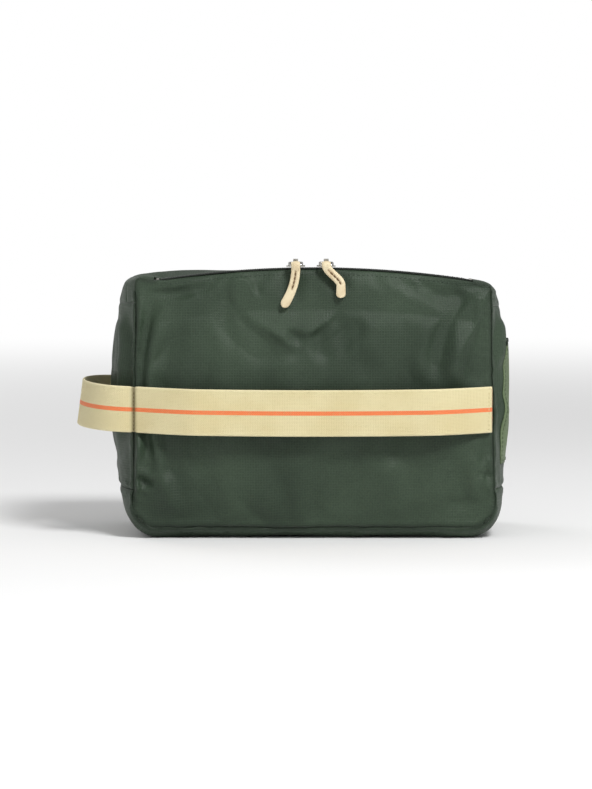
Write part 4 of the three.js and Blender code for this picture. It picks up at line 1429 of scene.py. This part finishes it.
def build_straps():
    """Trolley strap and carry handle, with their stitches and the strap's loose yarn ends."""
    cream = webbing_material()
    thread = thread_material("thread_cream", THREAD_DARK, THREAD_LIGHT)
    # The crease's thread is a dark olive, darkened to the colour of the crease's painted shade.
    crease_thread = thread_material("thread_olive", CREASE_SHADE_OLIVE, CREASE_LIGHT)
    build_webbing(cream)
    build_webbing_stitches("strap_thread_right", STRAP_HALF - 1.8, -1, thread, "strap_stitches_right")
    build_webbing_stitches("handle_thread_back", CREASE_X, -1, crease_thread, "handle_stitches_back")
    build_webbing_stitches("handle_thread_front", CREASE_X + 1.5, 1, thread, "handle_stitches_front")
    build_fringe(cream)


# The studio, in metres.
SKY_LIGHT = 0.42
SKY_SEEN = 1.0
FLOOR_SIZE = 30.0
FLOOR_TONE = (0.88, 0.88, 0.88, 1)
FADE_START = 0.5
FADE_END = 3.0
LAMPS = [  # name, place, power and width
    ("key", (0.75, -1.3, 1.6), 36, 0.55),
    ("rim", (-1.2, 1.3, 1.5), 8, 1.0),
    ("fill", (-1.4, -1.5, 0.6), 4, 1.2),
]
LAMP_AIM = Vector((0, 0, 0.09))
CAMERA_PLACE = Vector((-0.006, -2.06, 0.224))
CAMERA_AIM = Vector((-0.012, 0, 0.092))
LENS = 185


def floor_material():
    """Pale paper that fades into the bright backdrop away from the object."""
    g = Graph("floor_paper")
    distance = g.tree.nodes.new("ShaderNodeVectorMath")
    distance.operation = "LENGTH"
    g.put(g.place(), distance.inputs[0])
    backdrop = g.add("ShaderNodeEmission")
    blend = g.tree.nodes.new("ShaderNodeMixShader")
    g.put(g.ramp(distance.outputs["Value"], FADE_START, FADE_END), blend.inputs[0])
    g.put(g.surface.outputs[0], blend.inputs[1])
    g.put(backdrop.outputs[0], blend.inputs[2])
    g.put(blend.outputs[0], g.tree.nodes["Material Output"].inputs["Surface"])
    return g.finish(FLOOR_TONE, 0.9, Specular_IOR_Level=0.1)


def placed(name, data, place, aim):
    """A lamp or camera at a place, looking at another."""
    obj = bpy.data.objects.new(name, data)
    obj.location = place
    obj.rotation_euler = (aim - Vector(place)).to_track_quat("-Z", "Y").to_euler()
    bpy.context.scene.collection.objects.link(obj)
    return obj


def studio():
    """A pale floor under an even white sky, a soft light from the upper right and weak ones elsewhere."""
    scene = bpy.context.scene
    scene.view_settings.view_transform = "Standard"
    world = bpy.data.worlds.new("studio")
    scene.world = world
    world.use_nodes = True
    sky = world.node_tree.nodes["Background"]
    sky.inputs["Color"].default_value = (1, 1, 1, 1)
    seen = world.node_tree.nodes.new("ShaderNodeLightPath")
    level = world.node_tree.nodes.new("ShaderNodeMapRange")
    level.inputs["To Min"].default_value = SKY_LIGHT
    level.inputs["To Max"].default_value = SKY_SEEN
    world.node_tree.links.new(seen.outputs["Is Camera Ray"], level.inputs["Value"])
    world.node_tree.links.new(level.outputs[0], sky.inputs["Strength"])
    size = FLOOR_SIZE
    floor = bpy.data.meshes.new("floor")
    corners = [(-size, -size, 0), (size, -size, 0), (size, size, 0), (-size, size, 0)]
    floor.from_pydata(corners, [], [(0, 1, 2, 3)])
    floor.materials.append(floor_material())
    ground = bpy.data.objects.new("floor", floor)
    scene.collection.objects.link(ground)
    for name, place, power, wide in LAMPS:
        light = bpy.data.lights.new(name, "AREA")
        light.energy = power
        light.size = wide
        placed(name, light, place, LAMP_AIM)
    camera = bpy.data.cameras.new("camera")
    camera.lens = LENS
    camera.sensor_width = 36
    camera.sensor_fit = "HORIZONTAL"
    scene.camera = placed("camera", camera, CAMERA_PLACE, CAMERA_AIM)


build_body()
build_zip()
build_straps()
studio()
